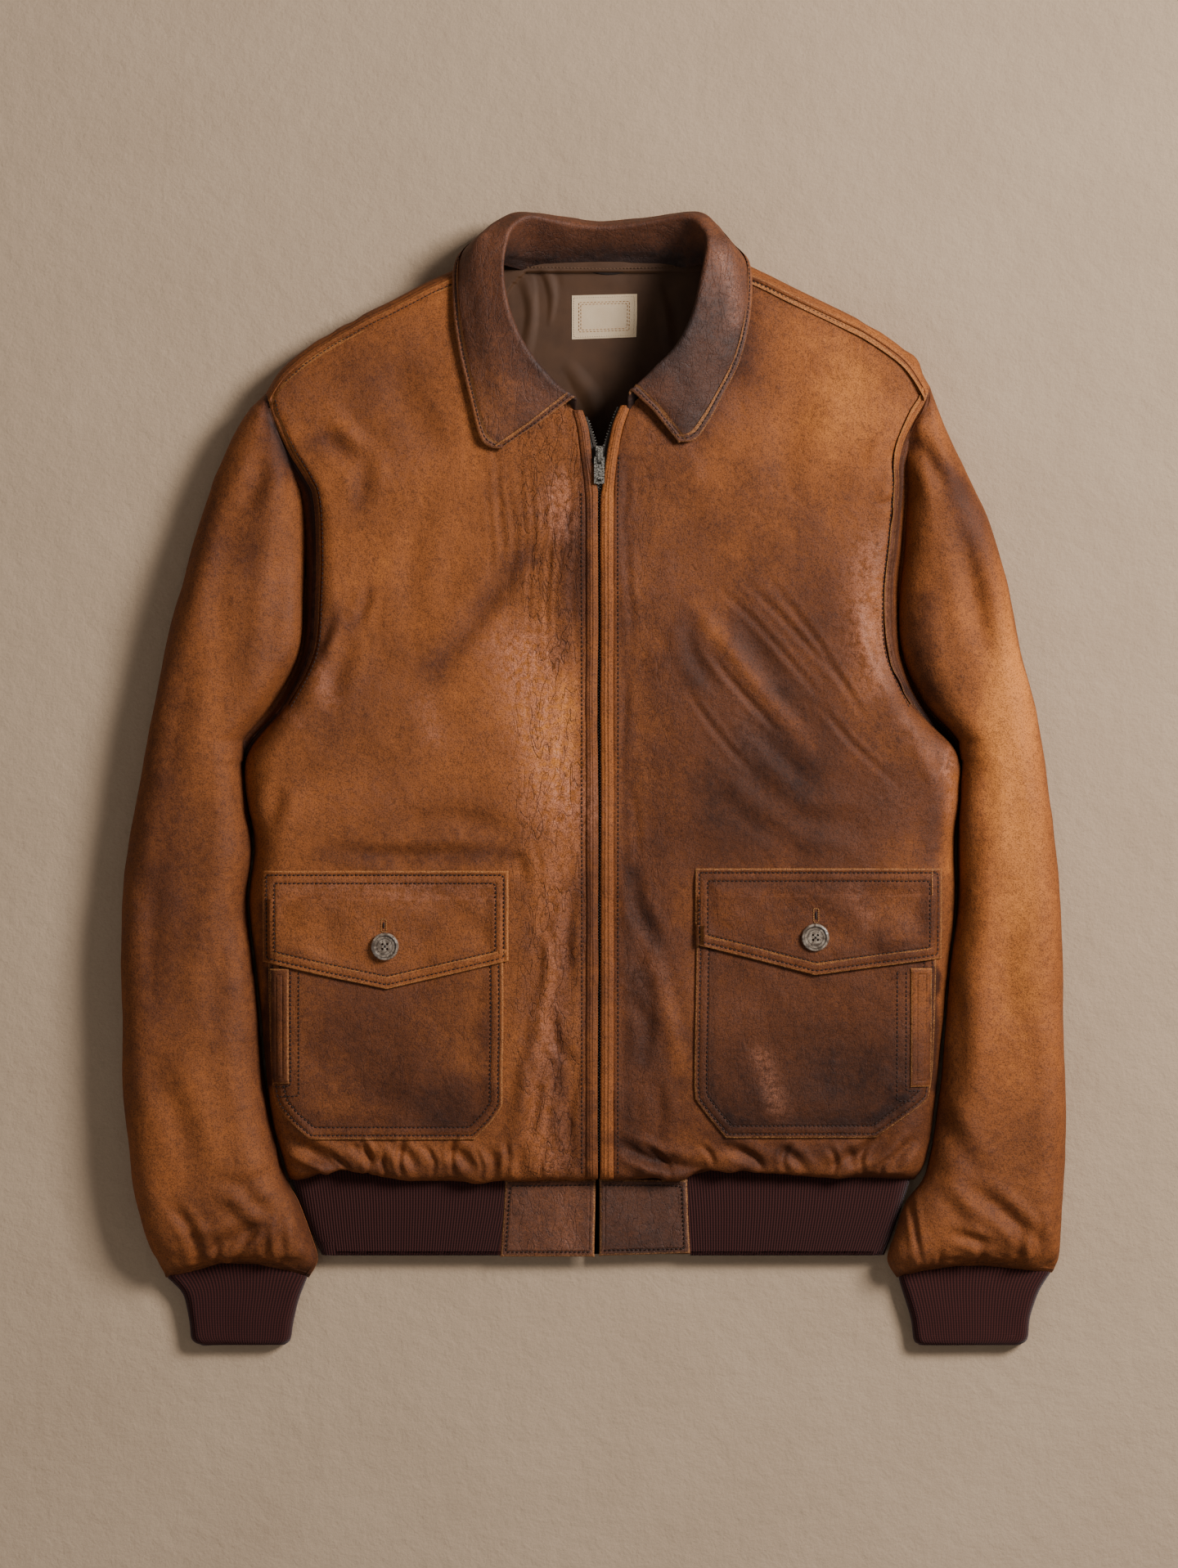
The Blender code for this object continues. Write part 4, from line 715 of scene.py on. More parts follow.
def armProfile(start, outer, top, backHeight, frontHeight, dip, soft):
    # one ring of a sleeve: underside from the inner end outward, round, and back over the top
    way = outer - start
    width = np.linalg.norm(way)
    way = way / width
    a = min(20.0, 0.42 * width)
    innerRoll = min(12.0, 0.2 * width)
    turn = np.linspace(0, math.pi / 2, 12)
    low = np.concatenate((innerRoll * (1 - np.cos(turn)), np.linspace(innerRoll, width - a, 10)[1:]))
    lowHeight = backHeight * (1 - quarter(low / innerRoll))
    beta = np.linspace(-math.pi / 2, math.pi / 2, 33)[1:]
    dipAt = min(9.0, 0.12 * width) * min(1.0, dip / 4)
    riseOver = min(26.0, 0.3 * width)
    valley = frontHeight - dip
    rise = dipAt + riseOver * (1 - np.cos(np.linspace(math.pi / 2, 0, 20)))
    high = np.concatenate((np.linspace(width - a, dipAt + riseOver, 16)[1:-1], rise))
    q = np.clip((high - dipAt) / riseOver, 0, 1)
    highHeight = valley + (top - valley) * ((1 - soft) * quarter(q) + soft * np.sin(q * math.pi / 2))
    last = np.linspace(0.9, 0, 8) * dipAt if dipAt > 0.5 else np.zeros(0)
    lastHeight = valley + dip * ease(1 - last / max(dipAt, 1e-6))
    r = np.concatenate((low, width - a + a * np.cos(beta), high, last))
    z = np.concatenate((lowHeight, top / 2 * (1 + np.sin(beta)), highHeight, lastHeight))
    return np.column_stack((start + way * r[:, None], z))


def armPoints(side, outer, arm, out, stations, cols):
    # rows from the shoulder tip (0) past the armpit (12) to the cuff seam (21)
    shares = np.linspace(0, 1, cols)
    beta = -math.pi / 2 + math.radians(90 + body["shoulderEnd"]) * shares
    away = body["shoulderOut"] * (np.cos(beta) - math.cos(math.radians(body["shoulderEnd"])))
    tip = np.column_stack((plan(side[-1]) + np.outer(away, out), body["shoulderRise"] * (1 + np.sin(beta))))

    def upper(row):
        top = along([45, 45, 45, 44, 43, 42, 41.5, 41, 40, 39, 38, 37, 36.5], row - 6)[0]
        dip = along([0.1, 14, 19, 19, 18, 12, 7, 4, 2, 1, 0.5, 0.1, 0.1], row - 6)[0]
        backHeight = max(0.0, along(body["backEdge"], row)[0])
        ring = armProfile(along(plan(side), row)[0], along(plan(outer), row - 6)[0], top, backHeight,
                          along(body["sideEdge"], row)[0], dip, float(ease((row - 9) / 3)))
        return spaced(ring, cols)

    shoulder = upper(16.0)
    rows = []
    for t in stations:
        if t < 2:
            rows.append(tip + (shoulder - tip) * t / 2)
        elif t <= 12:
            rows.append(upper(18 - t))
        else:
            k = t - 12
            top = along([45, 45, 45, 45, 45, 43, 41, 38, 31, 15.5], k)[0]
            seam = min(body["sideSeam"], top / 2)
            ends = [along(plan([pair[n] for pair in arm]), k)[0] for n in (0, 1)]
            rows.append(spaced(armProfile(*ends, top, seam, seam, 0.1, 0.0), cols))
    return np.array(rows)


def foldLine(seam, roll, middle, edge):
    # from the neck seam up to the roll line, round a soft fold and down the fall
    up, over = roll - seam, middle - roll
    upLength, overLength = np.linalg.norm(up), np.linalg.norm(over)
    fold = min(5.0, 0.45 * upLength, 0.4 * overLength)
    a, b = roll - up / upLength * fold, roll + over / overLength * fold
    t = np.linspace(0, 1, 13)[:, None]
    bend = (1 - t) ** 2 * a + 2 * t * (1 - t) * (roll + (0, 0, 0.8)) + t ** 2 * b
    stand = seam + (a - seam) * np.linspace(0, 1, 9)[:-1, None]
    fall = along([b, b + (middle - b) * 0.5, middle, (middle + edge) / 2, edge], np.linspace(0, 4, 25)[1:])
    return np.concatenate((stand, bend, fall))


# sewing


def stitches(name, lines, look, rise=0.1, pitch=3.3, thick=0.4):
    # short threads along lines of points in mm, each dipping in at both ends
    vertices, faces = [], []
    sides = 4
    angle = np.linspace(0, 2 * math.pi, sides + 1)[:-1] + math.pi / 4
    for line in lines:
        at = lengths(line)
        count = max(1, round(at[-1] / pitch))
        gap = 0.1 * pitch
        starts = np.linspace(0, at[-1], count + 1)[:-1] + gap
        read = lambda s: np.column_stack([np.interp(s, at, line[:, k]) for k in range(3)])
        a, b = read(starts), read(starts + at[-1] / count - 2 * gap)
        way = unit(b - a)
        sideways = unit(np.cross(way, np.array([0, 0, 1.0])))
        up = np.cross(sideways, way)
        for k in range(count):
            first = len(vertices)
            for share, size, lift in ((0, 0.5, -0.3), (0.25, 1, 0.12), (0.75, 1, 0.12), (1, 0.5, -0.3)):
                middle = a[k] + (b[k] - a[k]) * share + up[k] * (lift + rise)
                for t in angle:
                    vertices.append(middle + thick * size * (sideways[k] * math.cos(t) + up[k] * math.sin(t) * 0.9))
            for ring in range(3):
                for n in range(sides):
                    m = (n + 1) % sides
                    p = first + ring * sides
                    faces.append((p + n, p + m, p + sides + m, p + sides + n))
            faces.append(tuple(first + n for n in range(sides))[::-1])
            faces.append(tuple(first + 3 * sides + n for n in range(sides)))
    mesh = bpy.data.meshes.new(name)
    mesh.from_pydata((np.array(vertices) * mm).tolist(), [], faces)
    mesh.polygons.foreach_set("use_smooth", np.ones(len(faces), bool))
    mesh.update()
    mesh.materials.append(look)
    piece = bpy.data.objects.new(name, mesh)
    bpy.context.scene.collection.objects.link(piece)
    return piece


def moved(line, d, closed=False):
    # a drawn line moved sideways by d mm, to the right of its way
    p = np.array(line, float)
    step = unit(np.roll(p, -1, 0) - p) if closed else unit(np.diff(p, axis=0))
    before = np.roll(step, 1, 0) if closed else np.concatenate((step[:1], step))
    after = step if closed else np.concatenate((step, step[-1:]))
    squareBefore = np.stack((-before[:, 1], before[:, 0]), -1)
    squareAfter = np.stack((-after[:, 1], after[:, 0]), -1)
    out = squareBefore + squareAfter
    out = out / np.maximum((out * squareAfter).sum(1, keepdims=True), 0.3)
    result = p + out * d * drawing["unitsPerMm"]
    return np.concatenate((result, result[:1])) if closed else result


def onSurface(line, height, step=1.6):
    # a drawn line laid on a surface
    p = plan(line)
    p = spaced(p, max(2, int(lengths(p)[-1] / step)))
    return np.column_stack((p, [height(x, y) for x, y in p]))


def finishPiece(piece, node, flat):
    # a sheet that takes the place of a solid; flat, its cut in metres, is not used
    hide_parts(node)
    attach(piece, "jacket")


def rideAlong(piece):
    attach(piece, "jacket")


def leatherLayers(grid, upward, edge, crease=None, dark=0.42, seed=0):
    # patina of each point, with painted shade and light: drawn spots and strokes on what faces up, plain mottling
    # elsewhere, and a painted sheen that also adds gloss
    flat = grid * (1, 1, 0.4)
    mottle = softNoise(flat, 90.0, 3 + seed) * 0.07 + softNoise(flat, 34.0, 5 + seed) * 0.05
    seen = ease(upward * 1.5)
    spots = blobs(grid, patinaAndPaintedLightSpots) + strokes(grid, patinaAndPaintedLightStrokes)
    glossAndPaintedSheen = np.clip(strokes(grid, glossAndPaintedSheenStrokes) * seen + softNoise(flat, 40.0, 9) * 0.14, 0, 1)
    return dict(dark=np.clip(dark + 0.03 + mottle + spots * seen * 1.3, 0, 0.88), glossAndPaintedSheen=glossAndPaintedSheen, edge=edge,
                crease=np.zeros(edge.shape) if crease is None else crease)


# fronts

frontFolds = [
    ([(440, 1388), (452, 1412), (449, 1436)], 3.4, -1.9), ([(472, 1404), (468, 1420), (474, 1440)], 3.0, -1.6),
    ([(496, 1390), (488, 1414), (494, 1438)], 3.6, -2.0), ([(518, 1398), (531, 1418), (528, 1440)], 3.2, -1.7),
    ([(560, 1386), (551, 1410), (557, 1438)], 3.6, -1.9), ([(579, 1402), (590, 1422), (588, 1441)], 3.0, -1.4),
    ([(618, 1392), (622, 1416), (616, 1440)], 3.4, -1.5), ([(668, 1404), (661, 1422), (664, 1441)], 3.2, -1.3),
    ([(404, 1408), (418, 1420), (430, 1430)], 3.0, -1.5), ([(782, 1396), (806, 1412), (822, 1438)], 3.4, -1.8),
    ([(856, 1398), (868, 1410), (872, 1426)], 3.4, -1.7), ([(902, 1404), (924, 1414), (931, 1432)], 3.2, -1.6),
    ([(966, 1396), (956, 1414), (962, 1434)], 3.6, -1.8), ([(1010, 1400), (1021, 1416), (1016, 1440)], 3.4, -1.8),
    ([(1064, 1390), (1052, 1412), (1057, 1440)], 3.4, -1.7), ([(1088, 1412), (1076, 1424), (1079, 1441)], 3.0, -1.4),
    ([(345, 1390), (375, 1402), (430, 1430)], 8, -3.2), ([(352, 1408), (385, 1424), (420, 1438)], 5, 1.6),
    ([(430, 1398), (448, 1410), (462, 1424)], 6, -2.4), ([(488, 1398), (502, 1414), (512, 1432)], 6, -2.2),
    ([(465, 1400), (478, 1412), (486, 1428)], 6, 1.6), ([(545, 1400), (570, 1416), (584, 1434)], 7, -2.4),
    ([(596, 1402), (604, 1420), (602, 1440)], 6, -2.0), ([(640, 1400), (634, 1420), (640, 1440)], 6, -1.6),
    ([(745, 1390), (790, 1414), (872, 1434)], 8, -3.0), ([(760, 1412), (800, 1430), (840, 1440)], 6, 1.6),
    ([(880, 1400), (912, 1410), (940, 1430)], 7, -2.6), ([(950, 1400), (975, 1418), (985, 1436)], 6, -2.2),
    ([(1092, 1380), (1060, 1404), (1002, 1432)], 8, -2.8), ([(1030, 1400), (1044, 1420), (1046, 1438)], 6, -1.8),
    ([(1120, 1390), (1100, 1410), (1090, 1434)], 7, -2.4),
    ([(345, 960), (338, 985), (330, 1010)], 10, -2.4), ([(430, 780), (412, 830), (400, 870)], 12, -2.0),
    ([(410, 750), (398, 780), (390, 806)], 7, -1.5), ([(454, 720), (446, 744), (438, 766)], 6, -1.2),
    ([(392, 541), (432, 556), (447, 572), (440, 624)], 11, -1.8), ([(400, 505), (430, 540), (460, 585)], 11, 1.4),
    ([(640, 680), (606, 725), (569, 774), (533, 817)], 13, -1.8), ([(520, 620), (500, 700), (505, 780)], 15, -1.2),
    ([(480, 1012), (560, 1002), (640, 1022)], 13, -1.5), ([(400, 1040), (500, 1046), (620, 1040)], 9, -1.8),
    ([(690, 1080), (660, 1250), (630, 1380), (625, 1434)], 9, 1.6), ([(622, 1063), (634, 1050), (640, 1082)], 7, -1.5),
    ([(700, 1090), (692, 1150), (700, 1210)], 7, -1.8), ([(672, 1230), (682, 1275), (700, 1300)], 7, -1.6),
    ([(650, 1290), (655, 1340), (646, 1400)], 7, -1.6), ([(706, 1310), (696, 1360), (700, 1430)], 6, -1.5),
    ([(664, 1140), (672, 1180), (660, 1220)], 6, 1.3), ([(676, 1330), (680, 1370), (672, 1410)], 6, 1.2),
    ([(1060, 730), (1072, 790), (1080, 830)], 10, -1.8), ([(1130, 900), (1146, 930), (1160, 960)], 10, -2.0),
    ([(1105, 540), (1090, 560), (1070, 590)], 11, -1.8), ([(1098, 606), (1084, 616), (1070, 622)], 5, -1.4),
    ([(850, 745), (885, 790), (940, 860), (990, 910)], 9, 1.3), ([(838, 760), (846, 800), (880, 850)], 9, -1.2),
    ([(900, 750), (925, 795), (965, 845)], 11, -1.2), ([(920, 885), (955, 925), (990, 958)], 11, -1.2),
    ([(880, 722), (930, 770), (1000, 852)], 4, -0.9), ([(905, 706), (962, 765), (1040, 848)], 4, -0.8),
    ([(935, 704), (1000, 790), (1058, 884)], 4, -0.8), ([(858, 790), (900, 842), (952, 896)], 4, -0.9),
    ([(836, 842), (880, 902), (924, 950)], 4, -0.7), ([(1000, 860), (1040, 910), (1096, 960)], 4, -0.7),
    ([(880, 940), (930, 990), (1000, 1030)], 12, 1.2), ([(930, 1014), (1000, 1004), (1062, 1014)], 13, -1.4),
    ([(775, 1066), (780, 1110), (802, 1154)], 9, -1.8), ([(790, 1150), (812, 1230), (830, 1300)], 9, 1.4),
    ([(772, 1220), (790, 1250), (786, 1300)], 8, -1.6), ([(800, 1320), (806, 1360), (800, 1400)], 8, -1.2),
    ([(990, 470), (960, 540), (955, 620)], 18, -1.0), ([(480, 440), (500, 500), (540, 560)], 18, -1.0)]


def creaseFan():
    # S-curved creases down the left front beside the zip, each bent its own way
    rng = np.random.default_rng(5)
    lines = []
    for u, top, bottom, height in (
            (598, 570, 740, -0.8), (611, 548, 700, -0.9), (624, 560, 790, -1.0), (637, 545, 720, -0.9),
            (649, 560, 800, -1.1), (661, 552, 690, -0.9), (672, 575, 830, -1.1), (682, 640, 770, -1.0),
            (692, 560, 700, -1.0), (702, 610, 860, -1.2), (688, 820, 960, -0.9), (666, 850, 1000, -0.8),
            (702, 900, 1060, -1.0), (640, 830, 930, -0.7), (654, 1000, 1100, -0.7)):
        v = np.linspace(top, bottom, 6)
        sway = 5 * np.sin((v - 540) / 34 + u / 60) + rng.uniform(-2.5, 2.5, 6)
        lines.append((list(zip(u + sway, v)), rng.uniform(2.6, 4.4), height * rng.uniform(0.3, 0.85)))
    for u, top, bottom, height in ((762, 560, 660, -0.6), (770, 640, 800, -0.7), (764, 820, 960, -0.6), (776, 960, 1060, -0.7)):
        v = np.linspace(top, bottom, 5)
        lines.append((list(zip(u + 4 * np.sin(v / 40) + rng.uniform(-2, 2, 5), v)), 4.5, height))
    return lines


fronts = dict(
    step=1.72, cols=146, thick=1.4, foldShare=1.2, flat=(0.26, 0.68),
    left=dict(centre=leftCentre, side=leftSide, shoulder=leftShoulder, creased=1.0, dark=0.4),
    right=dict(centre=rightCentre, side=rightSide, shoulder=rightShoulder, creased=0.4, dark=0.53))
# how far the leather's lower edge lies below its plain line: u, drawing units
hemLip = dict(left=[(345, 0), (363, 3), (378, -1), (405, -12), (447, -12), (470, -2), (504, 2), (550, 2), (589, 4), (617, 1),
                    (716, 0)],
              right=[(751, 0), (838, -4), (878, -14), (940, -9), (1000, -3), (1070, -3), (1119, 0)])


def drooped(grid, table, near):
    # moves points down the picture by the table's amount at each u
    us, down = np.array(table, float).T
    grid = grid.copy()
    grid[..., 1] -= np.interp(drawn(grid)[..., 0], us, down) / drawing["unitsPerMm"] * near
    return grid


def dressedFront(which):
    spec = fronts[which]
    outline = spec["centre"], spec["side"], spec["shoulder"]

    def rough(t):
        return frontPoints(*outline, t, 9)

    rows = evenStations(rough, 0, 18, fronts["step"])
    cols = int(fronts["cols"] / fine)
    grid = frontPoints(*outline, rows, cols)
    n = upward(grid)
    fromHem = lengths(grid[:, 0])[:, None] + np.zeros(cols)
    grid = drooped(grid, hemLip[which], bell(fromHem, 0, 16))
    fromCentre = widths(grid)
    fromSide = fromCentre[:, -1:] - fromCentre
    fromShoulder = fromHem[-1:] - fromHem
    calm = ease(fromCentre / 8) * ease(fromSide / 12) * ease(fromHem / 6) * ease(fromShoulder / 12)
    flat = flattened(grid)
    wave = softNoise(flat, 85.0, 1) * 1.8 + softNoise(flat, 38.0, 2) * 1.1 + softNoise(flat, 17.0, 3) * 0.45
    wave += softNoise(flat, 8.0, 4) * 0.14
    # gathers where the leather meets the knit
    squeezed = flat * (1, 0.45, 1)
    gathers = softNoise(squeezed, 15.0, 11) * 2.4 + softNoise(squeezed, 8.0, 12) * 1.2
    wave += gathers * bell(fromHem, 14, 15)
    wave += folded(grid, frontFolds) * fronts["foldShare"] + folded(grid, creaseFan())
    # long fine creases beside the zip
    sway = np.sin(flat[..., 1:2] / 17.0 + flat[..., :1] / 30.0) * 3.0
    lined = softNoise((flat + sway * (1, 0, 0)) * (1, 0.22, 1), 4.2, 21)
    zone = bell(fromCentre, 24, 28) * spec["creased"]
    zone *= ease((fromShoulder - 40) / 60)
    wave += np.clip(lined, -0.8, 0.8) * zone * 0.5
    # the armhole and shoulder seams lie on a raised lip
    seam = np.minimum(fromShoulder, np.where(rows[:, None] > 7, fromSide, 99))
    lip = 0.6 * bell(seam, 1.6, 1.7) - 0.45 * bell(seam, 5.2, 1.4)
    bulge = 0.9 * np.clip(softNoise(flat * (0.3, 1, 1), 12.0, 13), 0, 1) * (rows[:, None] < 12.5) * (rows[:, None] > 7)
    lip += bulge * bell(seam, 2.5, 3.0)
    roof = ease(fromCentre / 12)
    grid = grid + n * (wave * calm + lip * roof)[..., None]
    edge = np.minimum(fromShoulder, np.where(rows[:, None] > 6, fromSide, 99))
    edge = np.minimum(edge, np.where(rows[:, None] > 13, fromCentre, 99))
    edge = np.minimum(edge, fromHem + 1.2)
    n = upward(grid)
    # painted shade: darker in the armhole crevice, along the side edge below the arm and along the hem edge where the
    # leather meets the knit
    tight = np.where(rows[:, None] < 6.2, fromSide, 99)
    layers = leatherLayers(grid, n[..., 2], edge, np.clip(zone * 1.2, 0, 1), spec["dark"])
    paintedCreviceShade = bell(fromSide, 0, 4) * ease((rows[:, None] - 5) / 2) * ease((13 - rows[:, None]) / 2)
    layers["dark"] = layers["dark"] + 0.4 * paintedCreviceShade + 0.16 * bell(fromHem, 0, 4) + 0.1 * bell(tight, 0, 5)
    return shell(f"front_{which}_leather", grid, n, tanLook, layers, fronts["thick"], flip=which == "left"), grid


leftFront, leftGrid = dressedFront("left")
rightFront, rightGrid = dressedFront("right")
for which, piece in (("left", leftFront), ("right", rightFront)):
    finishPiece(piece, f"front_{which}", fronts["flat"])
onLeft, onRight = heightOf(leftGrid), heightOf(rightGrid)
print("front panels are ready")

# back

back = dict(step=3.3, cols=176, rollRows=22, thick=1.4, dark=0.44, flat=(0.56, 0.68))
pleatTops = [([(1058, 378), (1082, 402)], 6, 2.4), ([(1110, 428), (1126, 454)], 6, 2.4),
             ([(432, 374), (412, 396)], 6, 2.2), ([(402, 394), (380, 416)], 6, 1.8)]


def dressedBack():
    def rough(t):
        return backPoints(t, np.linspace(0, 24, 9), 0)

    rows = evenStations(rough, 0, 17.3, back["step"])
    cols = int(back["cols"] / fine)
    wide = np.linspace(0, 24, 400)
    at = lengths(backPoints([10.0], wide, 0)[0])
    across = np.interp(np.linspace(0, at[-1], cols), at, wide)
    grid = backPoints(rows, across, int(back["rollRows"] / fine))
    n = normals(grid)
    n *= np.sign(-n[len(rows) // 2, cols // 2, 2])
    flat = flattened(grid)
    inner = np.minimum(across, 24 - across)
    calm = ease(np.linspace(0, 1, len(grid)) * 12)[:, None] * ease(inner * 2)[None, :]
    lifted = (softNoise(flat, 60.0, 31) + 1) * 0.5
    grid = grid - n * (lifted * calm * (n[..., 2] < -0.7))[..., None]
    grid = grid + n * (folded(grid, pleatTops) * (n[..., 2] > -0.5))[..., None]
    down = widths(grid.swapaxes(0, 1)).T
    edge = down[-1:] - down + 1.2
    layers = leatherLayers(grid, n[..., 2], edge, dark=back["dark"], seed=2)
    # painted shade inside the neck: darker, and without sheen, where the neck opening shows
    uv = drawn(grid)
    paintedNeckShade = ease((uv[..., 0] - 596) / 8) * ease((876 - uv[..., 0]) / 8) * ease((uv[..., 1] - 309) / 5)
    layers["dark"] = np.maximum(layers["dark"], paintedNeckShade * 1.25)
    layers["glossAndPaintedSheen"] = layers["glossAndPaintedSheen"] * (1 - paintedNeckShade)
    return shell("back_leather", grid, n, tanLook, layers, back["thick"], flip=False)


finishPiece(dressedBack(), "back_panel", back["flat"])
print("back panel is ready")

# sleeves

leftArmFolds = [
    ([(250, 1530), (290, 1512), (330, 1490)], 8, -3.0), ([(280, 1455), (305, 1480), (330, 1500)], 9, 2.2),
    ([(290, 1536), (300, 1520), (310, 1505)], 5, -1.8), ([(325, 560), (318, 590), (300, 624)], 12, -2.2),
    ([(225, 760), (218, 860), (205, 960)], 18, -1.6), ([(350, 640), (340, 740), (330, 830)], 12, -1.8),
    ([(290, 1100), (270, 1180), (275, 1280)], 16, -1.6), ([(190, 1300), (220, 1360), (240, 1440)], 15, -1.8),
    ([(212, 1470), (236, 1504), (246, 1548)], 7, -2.2), ([(350, 1480), (345, 1510), (350, 1544)], 6, -1.8),
    ([(262, 1440), (300, 1446), (340, 1430)], 9, -1.5), ([(228, 1500), (262, 1500), (296, 1480)], 6, 1.4),
    ([(330, 1500), (326, 1524), (330, 1548)], 5, -1.5), ([(268, 1510), (266, 1530), (272, 1548)], 5, -1.4),
    ([(265, 640), (250, 720), (246, 800)], 14, 1.4), ([(180, 1060), (186, 1140), (180, 1220)], 14, -1.3)]
rightArmFolds = [
    ([(1190, 1450), (1230, 1485), (1272, 1522)], 9, -3.0), ([(1160, 1505), (1185, 1512), (1214, 1522)], 6, -2.2),
    ([(1170, 640), (1185, 720), (1200, 800)], 13, -2.2), ([(1100, 520), (1130, 560), (1156, 604)], 10, -2.0),
    ([(1240, 1100), (1225, 1180), (1240, 1260)], 15, -1.6), ([(1140, 1340), (1170, 1400), (1200, 1440)], 12, -1.9),
    ([(1190, 900), (1200, 980), (1190, 1060)], 13, -1.7), ([(1240, 1500), (1245, 1525), (1240, 1548)], 6, -2.0),
    ([(1111, 1448), (1120, 1516), (1129, 1553)], 3.4, -1.6), ([(1210, 620), (1222, 720), (1238, 820)], 14, 1.4),
    ([(1196, 1516), (1200, 1532), (1196, 1548)], 5, -1.6), ([(1150, 1440), (1180, 1470), (1196, 1500)], 9, 1.8),
    ([(1268, 1480), (1270, 1510), (1262, 1544)], 6, -1.5), ([(1160, 1180), (1172, 1260), (1164, 1340)], 12, -1.4),
    ([(1146, 1524), (1150, 1540), (1148, 1550)], 4, -1.2)]
sleeves = dict(
    step=2.42, cols=156, thick=1.4, foldShare=1.25, flat=(0.28, 0.64),
    left=dict(side=leftSide, outer=leftOuter, arm=leftArm, folds=leftArmFolds, dark=0.48, paintedInnerShade=0.26),
    right=dict(side=rightSide, outer=rightOuter, arm=rightArm, folds=rightArmFolds, dark=0.46, paintedInnerShade=0.1))
# how far the leather's lower edge at the cuff lies below its plain line
cuffLip = dict(left=[(201, 0), (246, -11), (269, -18), (314, -17), (351, -9), (377, 0)],
               right=[(1097, 0), (1128, -8), (1169, -13), (1203, -13), (1244, -8), (1288, -2)])


def dressedSleeve(which):
    spec = sleeves[which]
    sign = 1 if which == "left" else -1
    outline = spec["side"], spec["outer"], spec["arm"], (-0.42 * sign, 0.91)

    def rough(t):
        return armPoints(*outline, t, 13)

    stations = evenStations(rough, 0, 21, sleeves["step"], 160)
    cols = int(sleeves["cols"] / fine)
    grid = armPoints(*outline, stations, cols)
    n = normals(grid) * -sign
    down = lengths(grid[:, cols // 2])[:, None] + np.zeros(cols)
    fromCuff = down[-1:] - down
    grid = drooped(grid, cuffLip[which], bell(fromCuff, 0, 18))
    around = widths(grid)
    fromSeam = np.minimum(around, around[:, -1:] - around)
    calm = ease(down / 30) * ease(fromCuff / 5) * ease(fromSeam / 10)
    flat = grid * (1, 1, 1.6)
    wave = softNoise(flat * (1, 0.7, 1), 60.0, 41) * 2.0 + softNoise(flat * (1, 0.7, 1), 28.0, 42) * 1.2
    wave += softNoise(flat, 13.0, 43) * 0.35
    squeezed = flat * (1, 0.4, 1)
    gathers = softNoise(squeezed, 13.0, 44) * 2.0 + softNoise(squeezed, 7.0, 45) * 1.1
    wave += gathers * bell(fromCuff, 10, 14)
    facing = ease(n[..., 2] * 2)
    wave += folded(grid, spec["folds"]) * facing * sleeves["foldShare"]
    wave += folded(grid + (8.0, 6.0, 0), spec["folds"]) * ease(-n[..., 2] * 2) * 0.3
    wave = np.where(n[..., 2] < -0.6, np.minimum(wave, 0), wave)
    grid = grid + n * (wave * calm)[..., None]
    n = normals(grid) * -sign
    grid[..., 2] = np.maximum(grid[..., 2], 0.2)
    edge = np.minimum(fromCuff, np.where((stations < 12)[:, None], fromSeam, 99)) + 1.2
    layers = leatherLayers(grid, n[..., 2], edge, dark=spec["dark"], seed=4 + sign)
    # painted shade: darker in the armhole crevice, on the inner side next to the body, and along the cuff edge
    paintedCreviceShade = bell(around[:, -1:] - around, 0, 9) * (stations[:, None] < 12.5)
    inner = bell(around[:, -1:] - around, 0, 16) * (n[..., 2] > 0) * spec["paintedInnerShade"]
    layers["dark"] = layers["dark"] + 0.35 * paintedCreviceShade + inner + 0.14 * bell(fromCuff, 0, 5)
    return shell(f"sleeve_{which}_leather", grid, n, tanLook, layers, sleeves["thick"], (0, 1, 1, 1), 5.0,
                 flip=which == "right", lowest=0.05)


for which in ("left", "right"):
    finishPiece(dressedSleeve(which), f"sleeve_{which}", sleeves["flat"])
print("sleeves are ready")

# knit


def ribbed(grid, n, across, where=1.0):
    # ridges along the rows' columns, by the distance across
    ridge = 0.5 + 0.5 * np.cos(2 * math.pi * across / knit["pitch"])
    return grid + n * ((ridge - 1) * knit["depth"] * where)[..., None]


# the waistband from tab to tab round the back: four places across, v and the height of its top
waist = dict(cols=1240, roll=9.0, flat=(0.78, 0.06), stations=[
    (617.8, 352, 1118, 840, 1431, 16.6), (616, 366, 1104, 841.3, 1474, 16.6),
    (614, 378, 1094, 842.6, 1504, 15.4), (611.8, 391.5, 1083, 844, 1534, 13.6)])
cuffs = dict(cols=420, rows=26, heights=[15.5, 15, 14.5, 13.5, 12], flat=(0.19, 0.055), left=leftCuff, right=rightCuff)


